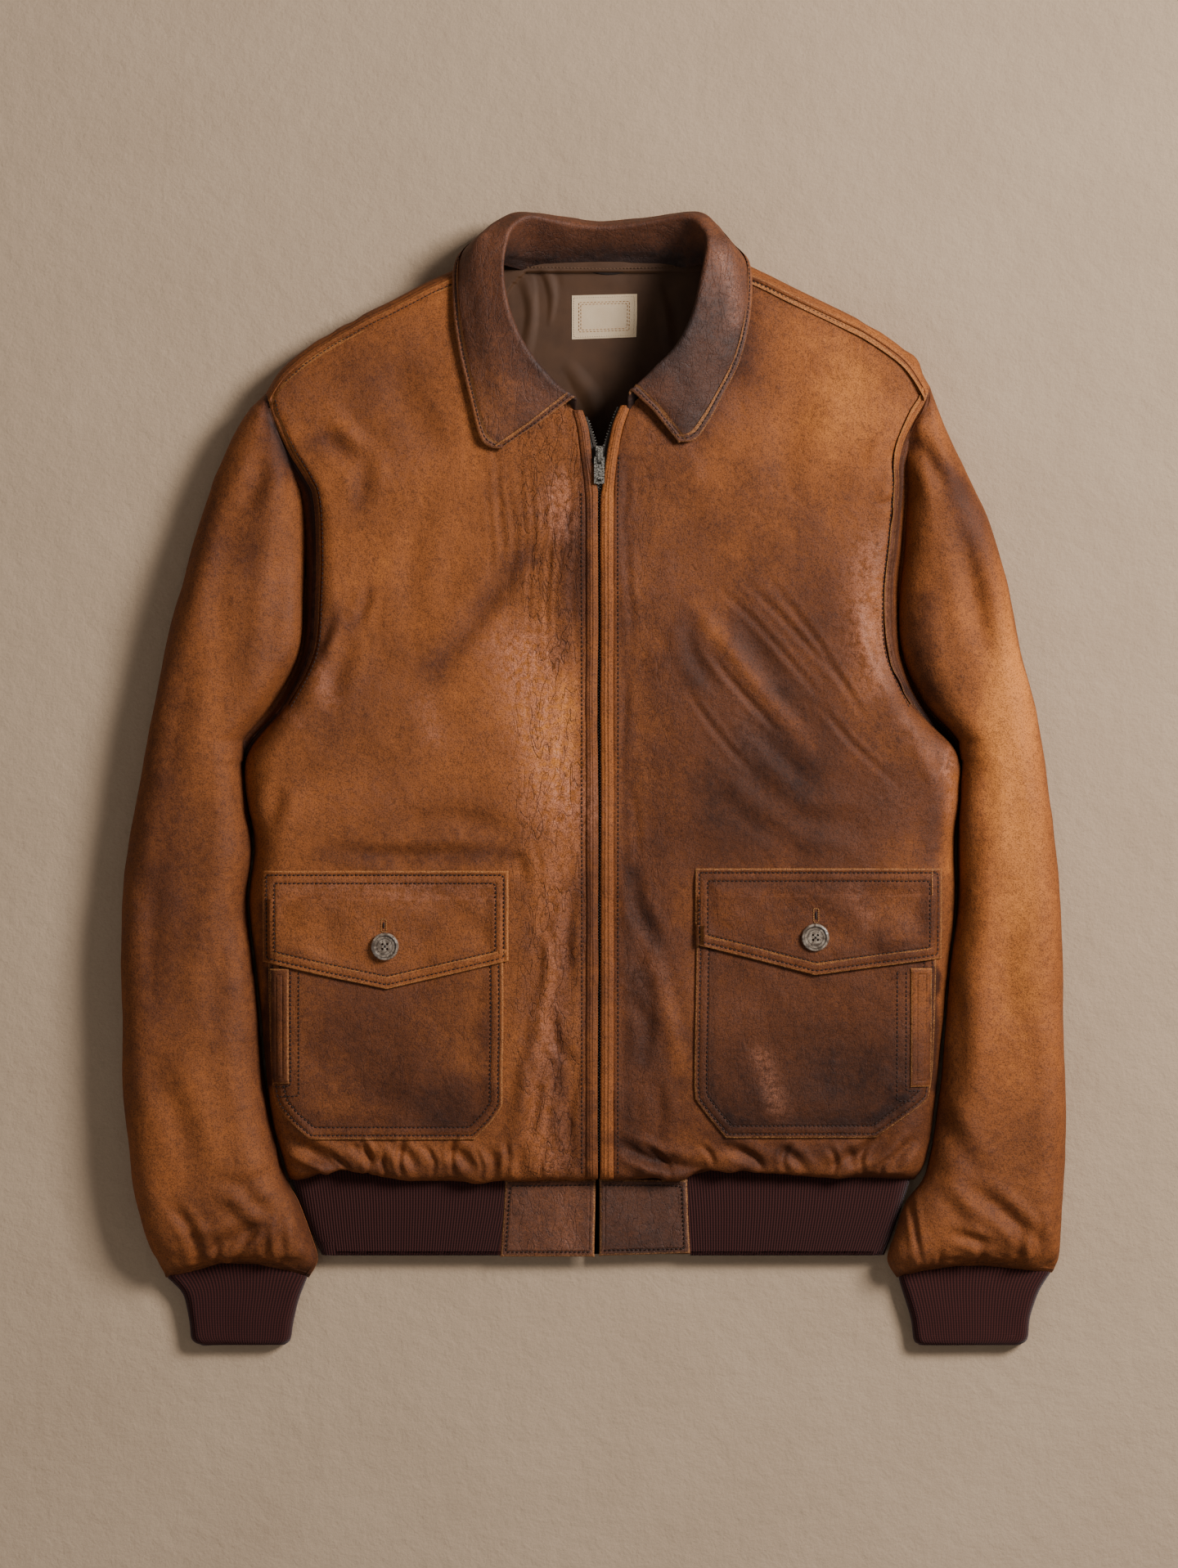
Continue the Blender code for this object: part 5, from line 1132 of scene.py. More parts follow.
def dressedWaist():
    fineStations = np.linspace(0, 3, 18)
    cols = int(waist["cols"] / fine)
    a = waist["roll"]
    lines = []
    for u1, u2, u3, u4, v, top in along(waist["stations"], fineStations):
        (x1, y), (x2, y), (x3, y), (x4, y) = plan([(u1, v), (u2, v), (u3, v), (u4, v)])
        turn = np.linspace(0.5 * math.pi, -0.5 * math.pi, 17)
        line = [(x1, top), (x2 + a, top)]
        line += [(x2 + a - a * math.cos(t), top / 2 * (1 + math.sin(t))) for t in turn[1:]]
        line += [(x3 - a, 0)]
        line += [(x3 - a + a * math.cos(t), top / 2 * (1 + math.sin(t))) for t in turn[::-1][1:]]
        line += [(x4, top)]
        at = lengths(np.array(line))
        # close together on the front, further apart on the back
        front = (0, (x2 - x1 + 8) / at[-1], 1 - (x4 - x3 + 8) / at[-1], 1)
        even = np.interp(np.linspace(0, 1, cols), (0, 0.36, 0.64, 1), front) * at[-1]
        lines.append(np.column_stack((np.interp(even, at, [q[0] for q in line]), np.full(cols, y),
                                      np.interp(even, at, [q[1] for q in line]))))
    grid = np.array(lines)
    n = normals(grid)
    n *= np.sign(n[9, 20, 2])
    across = lengths(grid[11])[None, :] + np.zeros((len(grid), 1))
    # the folded lower edge is plumper, and the sewn edge is drawn in
    down = fineStations[:, None] / 3
    puff = 0.9 * bell(down, 0.85, 0.14) - 1.2 * bell(down, 0, 0.12)
    flat = grid * (1, 1, 0.5)
    puff = puff + softNoise(flat, 26.0, 51) * 0.5
    under = n[..., 2] < -0.5
    grid = grid + n * np.where(under, np.minimum(puff, 0), puff)[..., None]
    grid = ribbed(grid, n, across, (n[..., 2] > 0) | (np.abs(n[..., 0]) > 0.5))
    return shell("waist_knit", grid, n, ribLook, dict(across=across), knit["thick"], (0, 1, 1, 1), 9.0, flip=False)


def dressedCuff(which):
    spec, heights = cuffs[which], cuffs["heights"]
    rows = np.linspace(0, 4, cuffs["rows"])
    cols = int(cuffs["cols"] / fine)
    lines = []
    for k in rows:
        p, q = [along(plan([pair[m] for pair in spec]), k)[0] for m in (0, 1)]
        top = along(heights, k)[0]
        width = np.linalg.norm(q - p)
        way, middle, a = (q - p) / width, (p + q) / 2, top * 0.45
        ring = []
        for side in (1, -1):
            for t in np.linspace(-math.pi / 2, math.pi / 2, 25):
                r = side * (width / 2 - a + a * math.cos(t))
                ring.append((*(middle + way * r), top / 2 * (1 + side * math.sin(t))))
        ring.append(ring[0])
        lines.append(spaced(np.array(ring), cols + 1)[:-1])
    grid = np.array(lines)
    near = (1 - ease(np.linspace(0, 1, len(grid)) * 1.6))[:, None]
    grid = drooped(grid, cuffLip[which], near)
    grid[0, :, 1] += 1.0
    n = normals(grid, True)
    n *= np.sign((n * (grid - grid.mean(axis=1, keepdims=True))).sum(2, keepdims=True))
    ribs = round(lengths(grid[13])[-1] / knit["pitch"])
    phase = np.arange(cols)[None, :] / cols * ribs * knit["pitch"] + np.zeros((len(grid), 1))
    down = rows[:, None] / 4
    puff = 0.8 * bell(down, 0.85, 0.14) - 1.0 * bell(down, 0, 0.14)
    puff = puff + softNoise(grid, 18.0, 61) * 0.5
    grid = grid + n * np.where(n[..., 2] < -0.5, np.minimum(puff, 0), puff)[..., None]
    grid = ribbed(grid, n, phase)
    # the folded end turns in towards the ring's middle, straight down the arm
    inward = unit((grid[-1].mean(0) - grid[-1]) * (1, 1, 3))
    ahead = unit(grid[-1].mean(0) - grid[-4].mean(0))
    turned = [grid[-1] + inward * knit["thick"] * d + ahead * knit["thick"] * o
              for d, o in ((0.15, 0.2), (0.4, 0.3), (0.7, 0.2), (0.9, -0.1), (1, -3.5))]
    points = np.concatenate((grid, np.array(turned)), 0)
    phase = np.concatenate((phase, np.repeat(phase[-1:], 5, 0)), 0)
    return gridObject(f"cuff_{which}_knit", points, ribLook, dict(across=phase), ring=True, flip=which == "right")


finishPiece(dressedWaist(), "waist_rib", waist["flat"])
for which in ("left", "right"):
    finishPiece(dressedCuff(which), f"cuff_{which}", cuffs["flat"])
print("knit is ready")

# collar


collar = dict(rows=270, cols=76, thick=2.0, dark=0.66, stitchRow=3.4, tuck=7.8, flat=(0.46, 0.1))


def dressedCollar():
    stations = np.array(collarLeft + [collarMiddle] + collarRight[::-1], float)
    count = int(collar["cols"] / fine)
    rows = along(stations, np.linspace(0, 20, int(collar["rows"] / fine)))
    grid = np.array([spaced(foldLine(*np.concatenate((plan(four[:, :2]), four[:, 2:]), -1)), count) for four in rows])
    # the stand goes on below its seam, under the lining and the fronts
    below = grid[:, :1] + unit(grid[:, :1] - grid[:, 2:3]) * collar["tuck"] * np.array([[1], [2 / 3], [1 / 3]])
    below[..., 2] = np.maximum(below[..., 2], 1.4)
    grid, count = np.concatenate((below, grid), 1), count + 3
    even = np.concatenate(([0], np.cumsum(np.linalg.norm(np.diff(grid[:, count // 2], axis=0), axis=1))))
    n = normals(grid)
    n *= np.sign(n[20, count // 2, 2])
    across = widths(grid) - collar["tuck"]
    fromEdge = across[:, -1:] - across
    fromEnd = np.minimum(even, even[-1] - even)[:, None] + np.zeros(count)
    edge = np.minimum(fromEdge, fromEnd + np.where(across < 8, 50, 0))
    wave = softNoise(grid, 34.0, 71) + softNoise(grid, 14.0, 72) * 0.6 + softNoise(grid, 6.0, 73) * 0.14
    plump = 0.8 * bell(edge, 1.4, 1.4) - 0.4 * bell(edge, 3.4, 0.9) + 0.5 * ease((edge - 4) / 7)
    grid = grid + n * ((wave * ease(edge / 6) + plump) * ease(across / 6))[..., None]
    n = normals(grid)
    n *= np.sign(n[20, count // 2, 2])
    layers = leatherLayers(grid, n[..., 2], edge, np.full(edge.shape, 0.5), dark=collar["dark"], seed=8)
    # painted shade on the inside of the stand, near its seam, with no sheen there
    inside = bell(across, 0, 16)
    layers["dark"] = layers["dark"] + inside * 0.3 - 0.14 * bell(edge, 0, 3)
    layers["glossAndPaintedSheen"] = layers["glossAndPaintedSheen"] * (1 - inside) * 0.6
    return shell("collar_leather", grid, n, collarLook, layers, collar["thick"], (1, 1, 0, 1), flip=False), grid


collarPiece, collarGrid = dressedCollar()
finishPiece(collarPiece, "collar", collar["flat"])
print("collar is ready")

# pockets, flaps and welts

pockets = dict(
    left=dict(dark=0.52,
              rows=[1098, 1140, 1200, 1260, 1310, 1335, 1350, 1360, 1372, 1391],
              left=[331, 330, 330, 331, 333, 335, 339, 347, 358, 380],
              right=[613, 614, 615, 615, 614, 614, 614, 608, 599, 580]),
    right=dict(dark=0.68,
               rows=[1094, 1130, 1190, 1250, 1305, 1325, 1342, 1352, 1365, 1389],
               left=[853, 852, 851, 850, 849, 849, 850, 857, 867, 887],
               right=[1144, 1143, 1142, 1141, 1139, 1137, 1134, 1122, 1103, 1070]))
flaps = dict(
    left=dict(dark=0.42, top=1065, across=[323, 398, 474, 548, 621], bottom=[1174, 1191, 1207, 1190, 1173]),
    right=dict(dark=0.6, top=1062, across=[850, 922, 995, 1070, 1149], bottom=[1153, 1171, 1190, 1180, 1170]))
welts = dict(left=((332, 354), (1184, 1323)), right=((1112, 1137), (1183, 1327)))
buttonsAt = dict(left=(472, 1156), right=(995, 1145))


def laidGrid(uv, height, lift):
    points = plan(uv)
    z = np.array([[height(x, y) for x, y in row] for row in points])
    return np.concatenate((points, (z + lift)[..., None]), -1)


def outlineDistance(uv, line):
    distance = lineDistance(uv.reshape(-1, 2), line)[0] / drawing["unitsPerMm"]
    return distance.reshape(uv.shape[:-1])


def dressedPocket(side, height, seed):
    spec = pockets[side]
    rows, cols = int(140 / fine), int(128 / fine)
    t = np.interp(np.linspace(spec["rows"][0], spec["rows"][-1], rows), spec["rows"], range(len(spec["rows"])))
    v = np.interp(t, range(len(spec["rows"])), spec["rows"])
    left, right = (np.interp(t, range(len(spec["rows"])), spec[k]) for k in ("left", "right"))
    share = np.linspace(0, 1, cols)
    uv = np.stack((left[:, None] + (right - left)[:, None] * share, v[:, None] + np.zeros(cols)), -1)
    line = list(zip(spec["left"], spec["rows"])) + list(zip(spec["right"], spec["rows"]))[::-1]
    edge = outlineDistance(uv, line)
    seamed = 0.5 * bell(edge, 1.0, 1.3) + 0.55 * bell(edge, 5.5, 2.2)
    flat = flattened(plan(uv))
    loose = ease((edge - 10) / 18)
    wave = (softNoise(flat, 46.0, seed) * 1.8 + softNoise(flat, 20.0, seed + 1) * 0.9) * loose
    wave += softNoise(flat, 9.0, seed + 2) * 0.16
    grid = laidGrid(uv, height, 1.5 + seamed + wave + 0.5 * loose)
    n = upward(grid)
    layers = leatherLayers(grid, n[..., 2], edge, np.full(edge.shape, 0.3), spec["dark"], seed)
    layers["dark"] = layers["dark"] - 0.03 * bell(edge, 0, 4) + 0.1 * bell(edge, 11, 4)
    return shell(f"pocket_{side}_leather", grid, n, pocketLook, layers, 1.5, inset=3.0), grid


def dressedFlap(side, height, under, seed):
    spec = flaps[side]
    rows, cols = int(88 / fine), int(150 / fine)
    u = np.linspace(spec["across"][0], spec["across"][-1], cols)
    low = np.interp(u, spec["across"], spec["bottom"])
    f = np.linspace(0, 1, rows)[:, None]
    uv = np.stack((u[None, :] + 0 * f, spec["top"] + (low - spec["top"])[None, :] * f), -1)
    line = [(spec["across"][0], spec["top"]), (spec["across"][-1], spec["top"])]
    line += list(zip(spec["across"], spec["bottom"]))[::-1] + line[:1]
    edge = outlineDistance(uv, line)
    base = plan(uv)
    z = np.array([[max(height(x, y), under(x, y)) for x, y in row] for row in base])
    z = z + 0.6 + 1.6 * ease(f * 5)
    seamed = 0.45 * bell(edge, 1.0, 1.3) + 0.5 * bell(edge, 5.5, 2.2)
    flat = flattened(base)
    wave = (softNoise(flat, 36.0, seed) * 1.3 + softNoise(flat, 16.0, seed + 1) * 0.8) * ease((edge - 8) / 10)
    wave += softNoise(flat, 7.0, seed + 2) * 0.15
    curl = 0.9 * ease((f - 0.55) / 0.45) * (0.6 + 0.6 * softNoise(flat, 60.0, seed + 3))
    grid = np.concatenate((base, (z + seamed + wave + curl)[..., None]), -1)
    n = upward(grid)
    layers = leatherLayers(grid, n[..., 2], edge, np.full(edge.shape, 0.35), spec["dark"], seed)
    layers["dark"] = layers["dark"] - 0.03 * bell(edge, 0, 4) + 0.08 * bell(edge, 11, 4)
    return shell(f"flap_{side}_leather", grid, n, pocketLook, layers, 1.6, inset=8.0), grid


def dressedWelt(side, under, seed):
    (u1, u2), (v1, v2) = welts[side]
    rows, cols = int(70 / fine), int(15 / fine)
    uv = np.stack(np.meshgrid(np.linspace(u1, u2, cols), np.linspace(v1, v2, rows)), -1)
    edge = outlineDistance(uv, [(u1, v1), (u2, v1), (u2, v2), (u1, v2), (u1, v1)])
    grid = laidGrid(uv, under, 1.2 + 0.6 * quarter(edge / 3))
    n = upward(grid)
    layers = leatherLayers(grid, n[..., 2], edge, dark=0.56, seed=seed)
    return shell(f"side_welt_{side}_leather", grid, n, tanLook, layers, 1.2, inset=2.0)


made = {}
for side, panel, seed in (("left", onLeft, 81), ("right", onRight, 91)):
    pocketPiece, pocketGrid = dressedPocket(side, panel, seed)
    finishPiece(pocketPiece, f"pocket_{side}", (0.176, 0.178))
    onPocket = heightOf(pocketGrid)
    flapPiece, flapGrid = dressedFlap(side, panel, onPocket, seed + 5)
    finishPiece(flapPiece, f"flap_{side}", (0.176, 0.076))
    weltPiece = dressedWelt(side, onPocket, seed + 7)
    finishPiece(weltPiece, f"side_welt_{side}", (0.032, 0.09))
    made[side] = dict(pocket=onPocket, flap=heightOf(flapGrid))
print("pockets are ready")

# zip edges and tabs

strips = dict(
    dark=dict(left=0.5, right=0.34),
    left=[(716, 731, 1441), (716, 731, 1200), (716, 731, 900), (716, 731, 640), (714.5, 730.5, 598),
          (710, 724, 560), (706, 720, 528), (700, 713, 505)],
    right=[(734, 750.5, 1441), (734, 750.5, 1200), (734, 750.5, 900), (734, 750.5, 640),
           (736, 751, 598), (741, 755, 560), (748, 762, 524), (758, 771, 499)])


def centreHeight(y):
    return np.interp(y, leftGrid[:, 0, 1], leftGrid[:, 0, 2])


def dressedStrip(side, seed):
    rows = int(330 / fine)
    table = along(strips[side], np.interp(np.linspace(0, 1, rows), [0, 0.25, 0.58, 0.86, 0.9, 0.94, 0.97, 1], range(8)))
    lines = []
    for u1, u2, v in table:
        (x1, y), (x2, y) = plan([(u1, v), (u2, v)])
        middle, half = (x1 + x2) / 2, (x2 - x1) / 2 - 0.1
        t = np.linspace(math.pi, 0, 25)
        x = middle + half * np.sign(np.cos(t)) * np.abs(np.cos(t)) ** 0.55
        z = centreHeight(y) + 1.4 - 3.2 * (1 - np.sin(t) ** 0.45)
        lines.append(np.column_stack((x, np.full(25, y), z)))
    grid = np.array(lines)
    n = upward(grid)
    flat = grid * (0.3, 1, 0)
    grid = grid + n * (softNoise(flat, 16.0, seed) * 0.25 + softNoise(flat, 6.0, seed + 1) * 0.12)[..., None]
    grid[..., 0] += softNoise(flat, 60.0, seed + 2) * 0.35
    edge = np.minimum(grid[..., 0] - grid[:, :1, 0], grid[:, -1:, 0] - grid[..., 0])
    layers = leatherLayers(grid, n[..., 2], edge + 0.8, dark=strips["dark"][side], seed=seed)
    return shell(f"zip_edge_{side}_leather", grid, n, tanLook, layers, 1.2, (1, 1, 0, 0), 3.0)


for side, seed in (("left", 101), ("right", 111)):
    finishPiece(dressedStrip(side, seed), f"zip_edge_{side}", (0.014, 0.56))


tabs = dict(
    top=18.6, fall=3.6, dark=dict(left=0.66, right=0.74),
    left=(((619, 1444), (727, 1443)), ((613, 1536), (725, 1536))),
    right=(((734, 1443), (838.5, 1444)), ((734, 1535), (842.5, 1532))))


def dressedTab(side, seed):
    (a, b), (c, d) = np.array(tabs[side], float)
    rows, cols = int(50 / fine), int(56 / fine)
    f, g = np.linspace(0, 1, rows)[:, None, None], np.linspace(0, 1, cols)[None, :, None]
    left, right = a + (c - a) * f, b + (d - b) * f
    uv = left + (right - left) * g
    edge = outlineDistance(uv, [a, b, d, c, a])
    flat = flattened(plan(uv))
    z = tabs["top"] - tabs["fall"] * f[..., 0] + 0.5 * quarter(edge / 2.5) - 0.5
    z = z + (softNoise(flat, 22.0, seed) * 0.8 + softNoise(flat * (1, 0.5, 1), 8.0, seed + 1) * 0.6) * ease(edge / 6)
    grid = np.concatenate((flat[..., :2], z[..., None]), -1)
    n = upward(grid)
    layers = leatherLayers(grid, n[..., 2], edge, np.full(edge.shape, 0.6), tabs["dark"][side], seed)
    return shell(f"waist_tab_{side}_leather", grid, n, collarLook, layers, 2.6)


for side, seed in (("left", 121), ("right", 131)):
    finishPiece(dressedTab(side, seed), f"waist_tab_{side}", (0.08, 0.07))
print("zip edges and tabs are ready")

# lining, on the solid's own form

liningRows = [(608, 862, 318), (602, 868, 334), (604, 868, 362), (610, 862, 400), (611, 862, 450),
              (636, 834, 500), (676, 794, 566)]
liningFolds = [([(640, 330), (650, 380), (640, 440)], 7, 1.0), ([(668, 326), (676, 360), (670, 400)], 5, 0.8),
               ([(655, 328), (662, 350), (660, 380)], 4, -0.6), ([(800, 330), (812, 380), (820, 440)], 7, 0.9),
               ([(690, 440), (720, 480), (740, 540)], 10, 0.9), ([(780, 440), (770, 480), (752, 530)], 9, 0.8),
               ([(630, 440), (660, 490), (700, 540)], 9, 0.8), ([(840, 400), (828, 450), (800, 500)], 8, 0.7)]


def nodeHeight(node):
    # reads the height of a kept solid from above
    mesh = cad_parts[node].data
    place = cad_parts[node].matrix_world
    tree = BVHTree.FromPolygons([place @ v.co for v in mesh.vertices], [tuple(f.vertices) for f in mesh.polygons])

    def height(x, y):
        hit = tree.ray_cast((x * mm, y * mm, 0.5), (0, 0, -1))[0]
        return hit.z / mm if hit else None

    return height


def dressedLining():
    under = nodeHeight("back_lining")
    rows, cols = int(110 / fine), int(110 / fine)
    t = np.linspace(0.06, 5.9, rows)
    table = along(liningRows, t)
    share = np.linspace(0.015, 0.985, cols)
    uv = np.stack((table[:, :1] + (table[:, 1:2] - table[:, :1]) * share, table[:, 2:] + np.zeros(cols)), -1)
    place = plan(uv)
    z = np.zeros(uv.shape[:2])
    for i in range(rows):
        last = 7.8
        for j in range(cols):
            found = under(*place[i, j])
            last = found if found is not None else last
            z[i, j] = last
    grid = np.concatenate((place, z[..., None]), -1)
    # flat under the label
    beside, below = [np.maximum(np.abs(uv[..., k] - at) - half, 0) for k, at, half in ((0, 739, 44), (1, 385, 32))]
    label = bell(beside, 0, 8) * bell(below, 0, 8)
    flat = flattened(place)
    wave = folded(grid, liningFolds) * 1.6 + softNoise(flat, 30.0, 141) * 0.8 + softNoise(flat * (1, 0.4, 1), 9.0, 142) * 0.3
    grid[..., 2] += 0.28 + np.maximum(wave, -0.1) * (1 - label) + 0.1
    n = upward(grid)
    return shell("back_lining_satin", grid, n, satinLook, {}, 0.4, inset=1.0)


finishPiece(dressedLining(), "back_lining", (0.14, 0.13))
print("lining is ready")

# kept solids get their looks

for node, look in (("zip_tape_left", tapeLook), ("zip_tape_right", tapeLook), ("zip_slider", metalPaint),
                   ("zip_pull", metalPaint), ("neck_label", labelLook), ("hanger_loop", cordLook),
                   ("button_left", hornLook("hornButtonLeft", buttonsAt["left"])),
                   ("button_right", hornLook("hornButtonRight", buttonsAt["right"]))):
    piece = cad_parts[node]
    for k in range(len(piece.material_slots)):
        piece.material_slots[k].link = "OBJECT"
        piece.material_slots[k].material = look

# sewing on the pieces

sewing = dict(edgeRow=2.6, innerRow=8.5, armholeRow=4.6, shoulderRow=3.4, pitch=3.2, thick=0.5)


def sew(name, lines, height, slot="leather_tan", look=None, **settings):
    settings = {"pitch": sewing["pitch"], "thick": sewing["thick"], **settings}
    lines = [onSurface(line, height) if np.array(line).shape[1] == 2 else line for line in lines]
    rideAlong(stitches(name, lines, look or threadPaint, **settings))


for side in ("left", "right"):
    spec = pockets[side]
    down = list(zip(spec["left"], spec["rows"]))[1:]
    up = list(zip(spec["right"], spec["rows"]))[1:][::-1]
    line = (down + up)[::-1]
    sew(f"pocket_{side}_stitches", [moved(line, sewing["edgeRow"]), moved(line, sewing["innerRow"])], made[side]["pocket"])
    flap = flaps[side]
    line = [(flap["across"][0], flap["top"]), (flap["across"][-1], flap["top"])]
    line += list(zip(flap["across"], flap["bottom"]))[::-1]
    sew(f"flap_{side}_stitches", [moved(line, sewing["edgeRow"], True), moved(line, sewing["innerRow"], True)],
        made[side]["flap"])

sew("welt_left_stitches", [[(357, 1186), (357, 1326), (333, 1328)], [(367, 1186), (367, 1338), (336, 1340)]],
    made["left"]["pocket"])
sew("welt_right_stitches", [[(1106, 1186), (1106, 1332), (1124, 1332)], [(1095, 1186), (1095, 1344), (1118, 1345)]],
    made["right"]["pocket"])
for side, sign, height, armhole, shoulder in (("left", 1, onLeft, leftSide[7:], leftShoulder),
                                              ("right", -1, onRight, rightSide[7:], rightShoulder[::-1])):
    smooth = along(armhole, np.linspace(0, len(armhole) - 1, 60))
    sew(f"armhole_{side}_stitches", [moved(smooth, sign * sewing["armholeRow"])], height)
    sew(f"shoulder_{side}_stitches", [moved(shoulder[1:-1], sign * sewing["shoulderRow"])], height)
sew("zip_left_stitches", [[(711, 604), (711.5, 800), (711.5, 1434)]], onLeft)
sew("zip_right_stitches", [[(756.5, 560), (755, 620), (755.5, 800), (755.5, 1434)]], onRight)

# the collar's row follows its own grid
inner = collarGrid[:, ::-1]
depth = widths(inner)
row = np.array([[np.interp(collar["stitchRow"], depth[k], inner[k, :, c]) for c in range(3)] for k in range(len(inner))])
cut = lengths(row)
rows = [row[(cut > collar["stitchRow"]) & (cut < cut[-1] - collar["stitchRow"])]]
for near in (collarGrid[4], collarGrid[-5]):
    across = lengths(near)
    rows.append(near[(across > 8) & (across < across[-1] - collar["stitchRow"])])
sew("collar_stitches", rows, None, "leather_collar")


def onTab(x, y):
    return tabs["top"] - tabs["fall"] * np.clip((plan([(0, 1444)])[0, 1] - y) / 54, 0, 1) + 0.3


for side, line in (("left", [(722, 1449), (624, 1450), (618.5, 1531), (722, 1531)]),
                   ("right", [(738, 1449), (834, 1450), (837, 1527), (738, 1529)])):
    sew(f"waist_tab_{side}_stitches", [line], onTab, "leather_collar")

# neck label: a stitched border
onLabel = nodeHeight("neck_label")
labelTop = lambda x, y: onLabel(x, y) or 9.0
border = [(699, 359), (779, 357), (778, 410), (699, 413)]
sew("neck_label_stitches", [moved(border, 1.6, True)], labelTop, "label_cloth", creamThread, pitch=1.7, thick=0.28)
sew("neck_label_pattern", [moved(border, 5.2, True), moved(border, 6.6, True)], labelTop, "label_cloth", paleThread,
    pitch=2.6, thick=0.24)

# buttonholes and the thread that holds each button
for side, (u1, v1), (u2, v2) in (("left", (470.5, 1123), (470.5, 1138)), ("right", (996, 1110), (996, 1127))):
    top = made[side]["flap"]
    oval = [(u1 - 3, v1), (u1 + 3, v1), (u2 + 3, v2), (u2 - 3, v2)]
    sew(f"buttonhole_{side}_binding", [moved(oval, 0.0, True)], top, "leather_tan", paleThread, pitch=1.3, thick=0.4, rise=0.25)
    sew(f"buttonhole_{side}_slit", [[(u1, v1 + 1.5), (u2, v2 - 1.5)]], top, "leather_tan", darkThread, pitch=9, thick=0.7, rise=0.0)
    onButton = nodeHeight(f"button_{side}")
    u, v = buttonsAt[side]
    cross = [[(u - 3.4, v - 3.4), (u + 3.4, v + 3.4)], [(u - 3.4, v + 3.4), (u + 3.4, v - 3.4)]]
    peak = max(h for h in (onButton(*plan([(u + a, v + b)])[0]) for a in (-6, 0, 6) for b in (-6, 0, 6)) if h)
    sew(f"button_{side}_thread", cross, lambda x, y: peak - 0.7, "button_horn", darkThread, pitch=5.6, thick=0.5, rise=0.3)

# overcast stitches along the neck seam
neckRow = [(634, 325), (668, 325), (700, 326), (740, 327), (780, 326), (812, 325), (836, 325)]
onLining = nodeHeight("back_lining")
sew("neck_seam_stitches", [neckRow], lambda x, y: (onLining(x, y) or 8.0) + 0.7, "lining_cloth", seamThread,
    pitch=2.6, thick=0.34)
print("sewing is ready")

# zip teeth: one on each tape's bead in turn

zipTeeth = dict(step=1.05, wide=1.5, long=0.62, rings=((-0.1, 1.0), (0.35, 1.0), (0.62, 0.6)))
tapeLines = dict(left=[(731.5, 1424), (731.5, 1000), (731.5, 640), (731, 570), (728.5, 545), (718, 512)],
                 right=[(733.5, 1424), (733.5, 1000), (733.5, 640), (734.2, 570), (739, 543), (754, 500)])


def teeth(side, sign):
    line = plan(along(tapeLines[side], np.linspace(0, 5, 200)))
    at = lengths(line)
    spots = np.arange(3.0 + (sign > 0) * zipTeeth["step"], at[-1] - 2, 2 * zipTeeth["step"])
    vertices, faces = [], []
    onTape = nodeHeight(f"zip_tape_{side}")
    for s in spots:
        x, y = [np.interp(s, at, line[:, k]) for k in (0, 1)]
        x2, y2 = [np.interp(s + 0.5, at, line[:, k]) for k in (0, 1)]
        way = unit(np.array((x2 - x, y2 - y)))
        out = np.array((way[1], -way[0])) * sign
        z = onTape(x + out[0] * 0.8, y + out[1] * 0.8) or onTape(x + out[0] * 1.5, y + out[1] * 1.5)
        if z is None:
            continue
        first = len(vertices)
        for h, shrink in zipTeeth["rings"]:
            for a, b in ((-1, -1), (1, -1), (1, 1), (-1, 1)):
                reach = out * (0.1 + a * zipTeeth["wide"] / 2 * shrink) + way * b * zipTeeth["long"] / 2 * shrink
                vertices.append((*(np.array((x, y)) + reach), z + h))
        for ring in (0, 4):
            for n in range(4):
                m = (n + 1) % 4
                faces.append((first + ring + n, first + ring + m, first + ring + 4 + m, first + ring + 4 + n))
        faces.append(tuple(first + 8 + n for n in range(4)))
        faces.append(tuple(first + n for n in range(4))[::-1])
    mesh = bpy.data.meshes.new(f"zip_teeth_{side}")
    mesh.from_pydata((np.array(vertices) * mm).tolist(), [], faces)
    b = bmesh.new()
    b.from_mesh(mesh)
    bmesh.ops.recalc_face_normals(b, faces=b.faces)
    b.to_mesh(mesh)
    b.free()
    mesh.materials.append(metalPaint)
    piece = bpy.data.objects.new(f"zip_teeth_{side}", mesh)
    bpy.context.scene.collection.objects.link(piece)
    rideAlong(piece)


for side, sign in (("left", -1), ("right", 1)):
    teeth(side, sign)
print("zip teeth are ready")

# picture

stage = dict(
    cameraHeight=4.2, pictureHeight=1917 / drawing["unitsPerMm"] * mm, centre=(720.0, 958.5), sharpAt=0.02,
    floorHalf=6, world=0.18,
    lights=(("keyLight", (1.78, 1.03, 1.8), 0.85, 116), ("fillLight", (-1.3, -1.5, 2.4), 2.6, 12)))


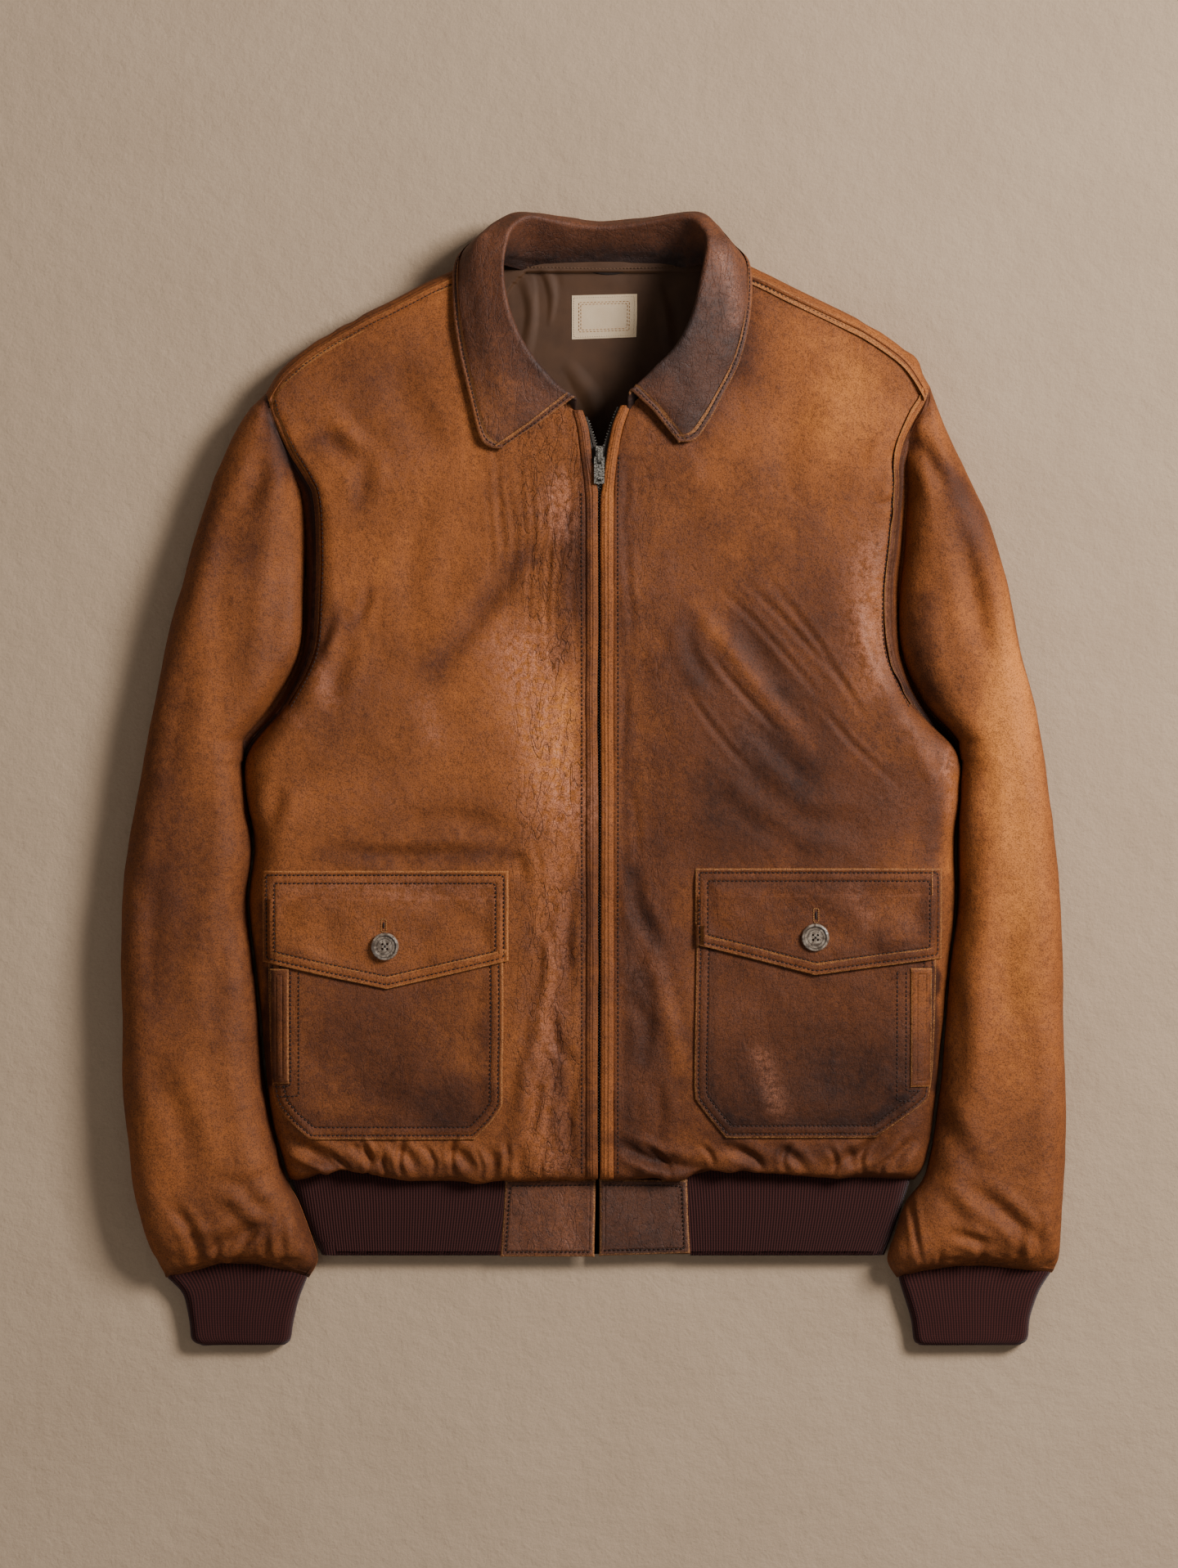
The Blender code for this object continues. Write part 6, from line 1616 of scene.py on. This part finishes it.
def floorLook():
    # pale plaster: clouds, fine grit and a few trowel marks
    m, tree, shader = principled("plasterFloor", Roughness=0.95, Specular_IOR_Level=0.2)
    place = millimetres(tree)
    cloud = speckle(tree, place, 0.012, 5.0, 0.55)
    grit = speckle(tree, place, 0.45, 5.0, 0.65)
    trowel = speckle(tree, place, 0.07, 7.0, 0.62)
    both = calc(tree, "ADD", calc(tree, "MULTIPLY", cloud, 0.5), calc(tree, "MULTIPLY", grit, 0.5), True)
    tone = blendColour(tree, both, colour(160, 135, 110), colour(192, 166, 139))
    tree.links.new(tone, shader.inputs["Base Color"])
    relief = calc(tree, "ADD", calc(tree, "MULTIPLY", grit, 0.5), calc(tree, "MULTIPLY", trowel, 2.0))
    bump(tree, shader, relief, 0.8)
    return m


def buildStage():
    mesh = bpy.data.meshes.new("floor")
    half = stage["floorHalf"]
    mesh.from_pydata([(-half, -half, 0), (half, -half, 0), (half, half, 0), (-half, half, 0)], [], [(0, 1, 2, 3)])
    mesh.materials.append(floorLook())
    floor = bpy.data.objects.new("floor", mesh)
    bpy.context.scene.collection.objects.link(floor)
    world = bpy.data.worlds.new("studio")
    bpy.context.scene.world = world
    world.use_nodes = True
    world.node_tree.nodes["Background"].inputs["Color"].default_value = (1.0, 0.98, 0.95, 1)
    world.node_tree.nodes["Background"].inputs["Strength"].default_value = stage["world"]
    for name, place, size, power in stage["lights"]:
        light = bpy.data.lights.new(name, "AREA")
        light.energy, light.size = power, size
        lamp = bpy.data.objects.new(name, light)
        bpy.context.scene.collection.objects.link(lamp)
        lamp.location = place
        way = -np.array(place)  # towards the jacket's middle
        lamp.rotation_euler = (math.atan2(math.hypot(way[0], way[1]), -way[2]), 0,
                               math.atan2(way[1], way[0]) - math.pi / 2)
    camera = bpy.data.cameras.new("camera")
    camera.sensor_fit = "VERTICAL"
    camera.sensor_height = 36
    camera.lens = camera.sensor_height * (stage["cameraHeight"] - stage["sharpAt"]) / stage["pictureHeight"]
    eye = bpy.data.objects.new("camera", camera)
    bpy.context.scene.collection.objects.link(eye)
    x, y = plan(stage["centre"]) * mm
    eye.location = (x, y, stage["cameraHeight"])
    bpy.context.scene.camera = eye


buildStage()
print("stage is ready")
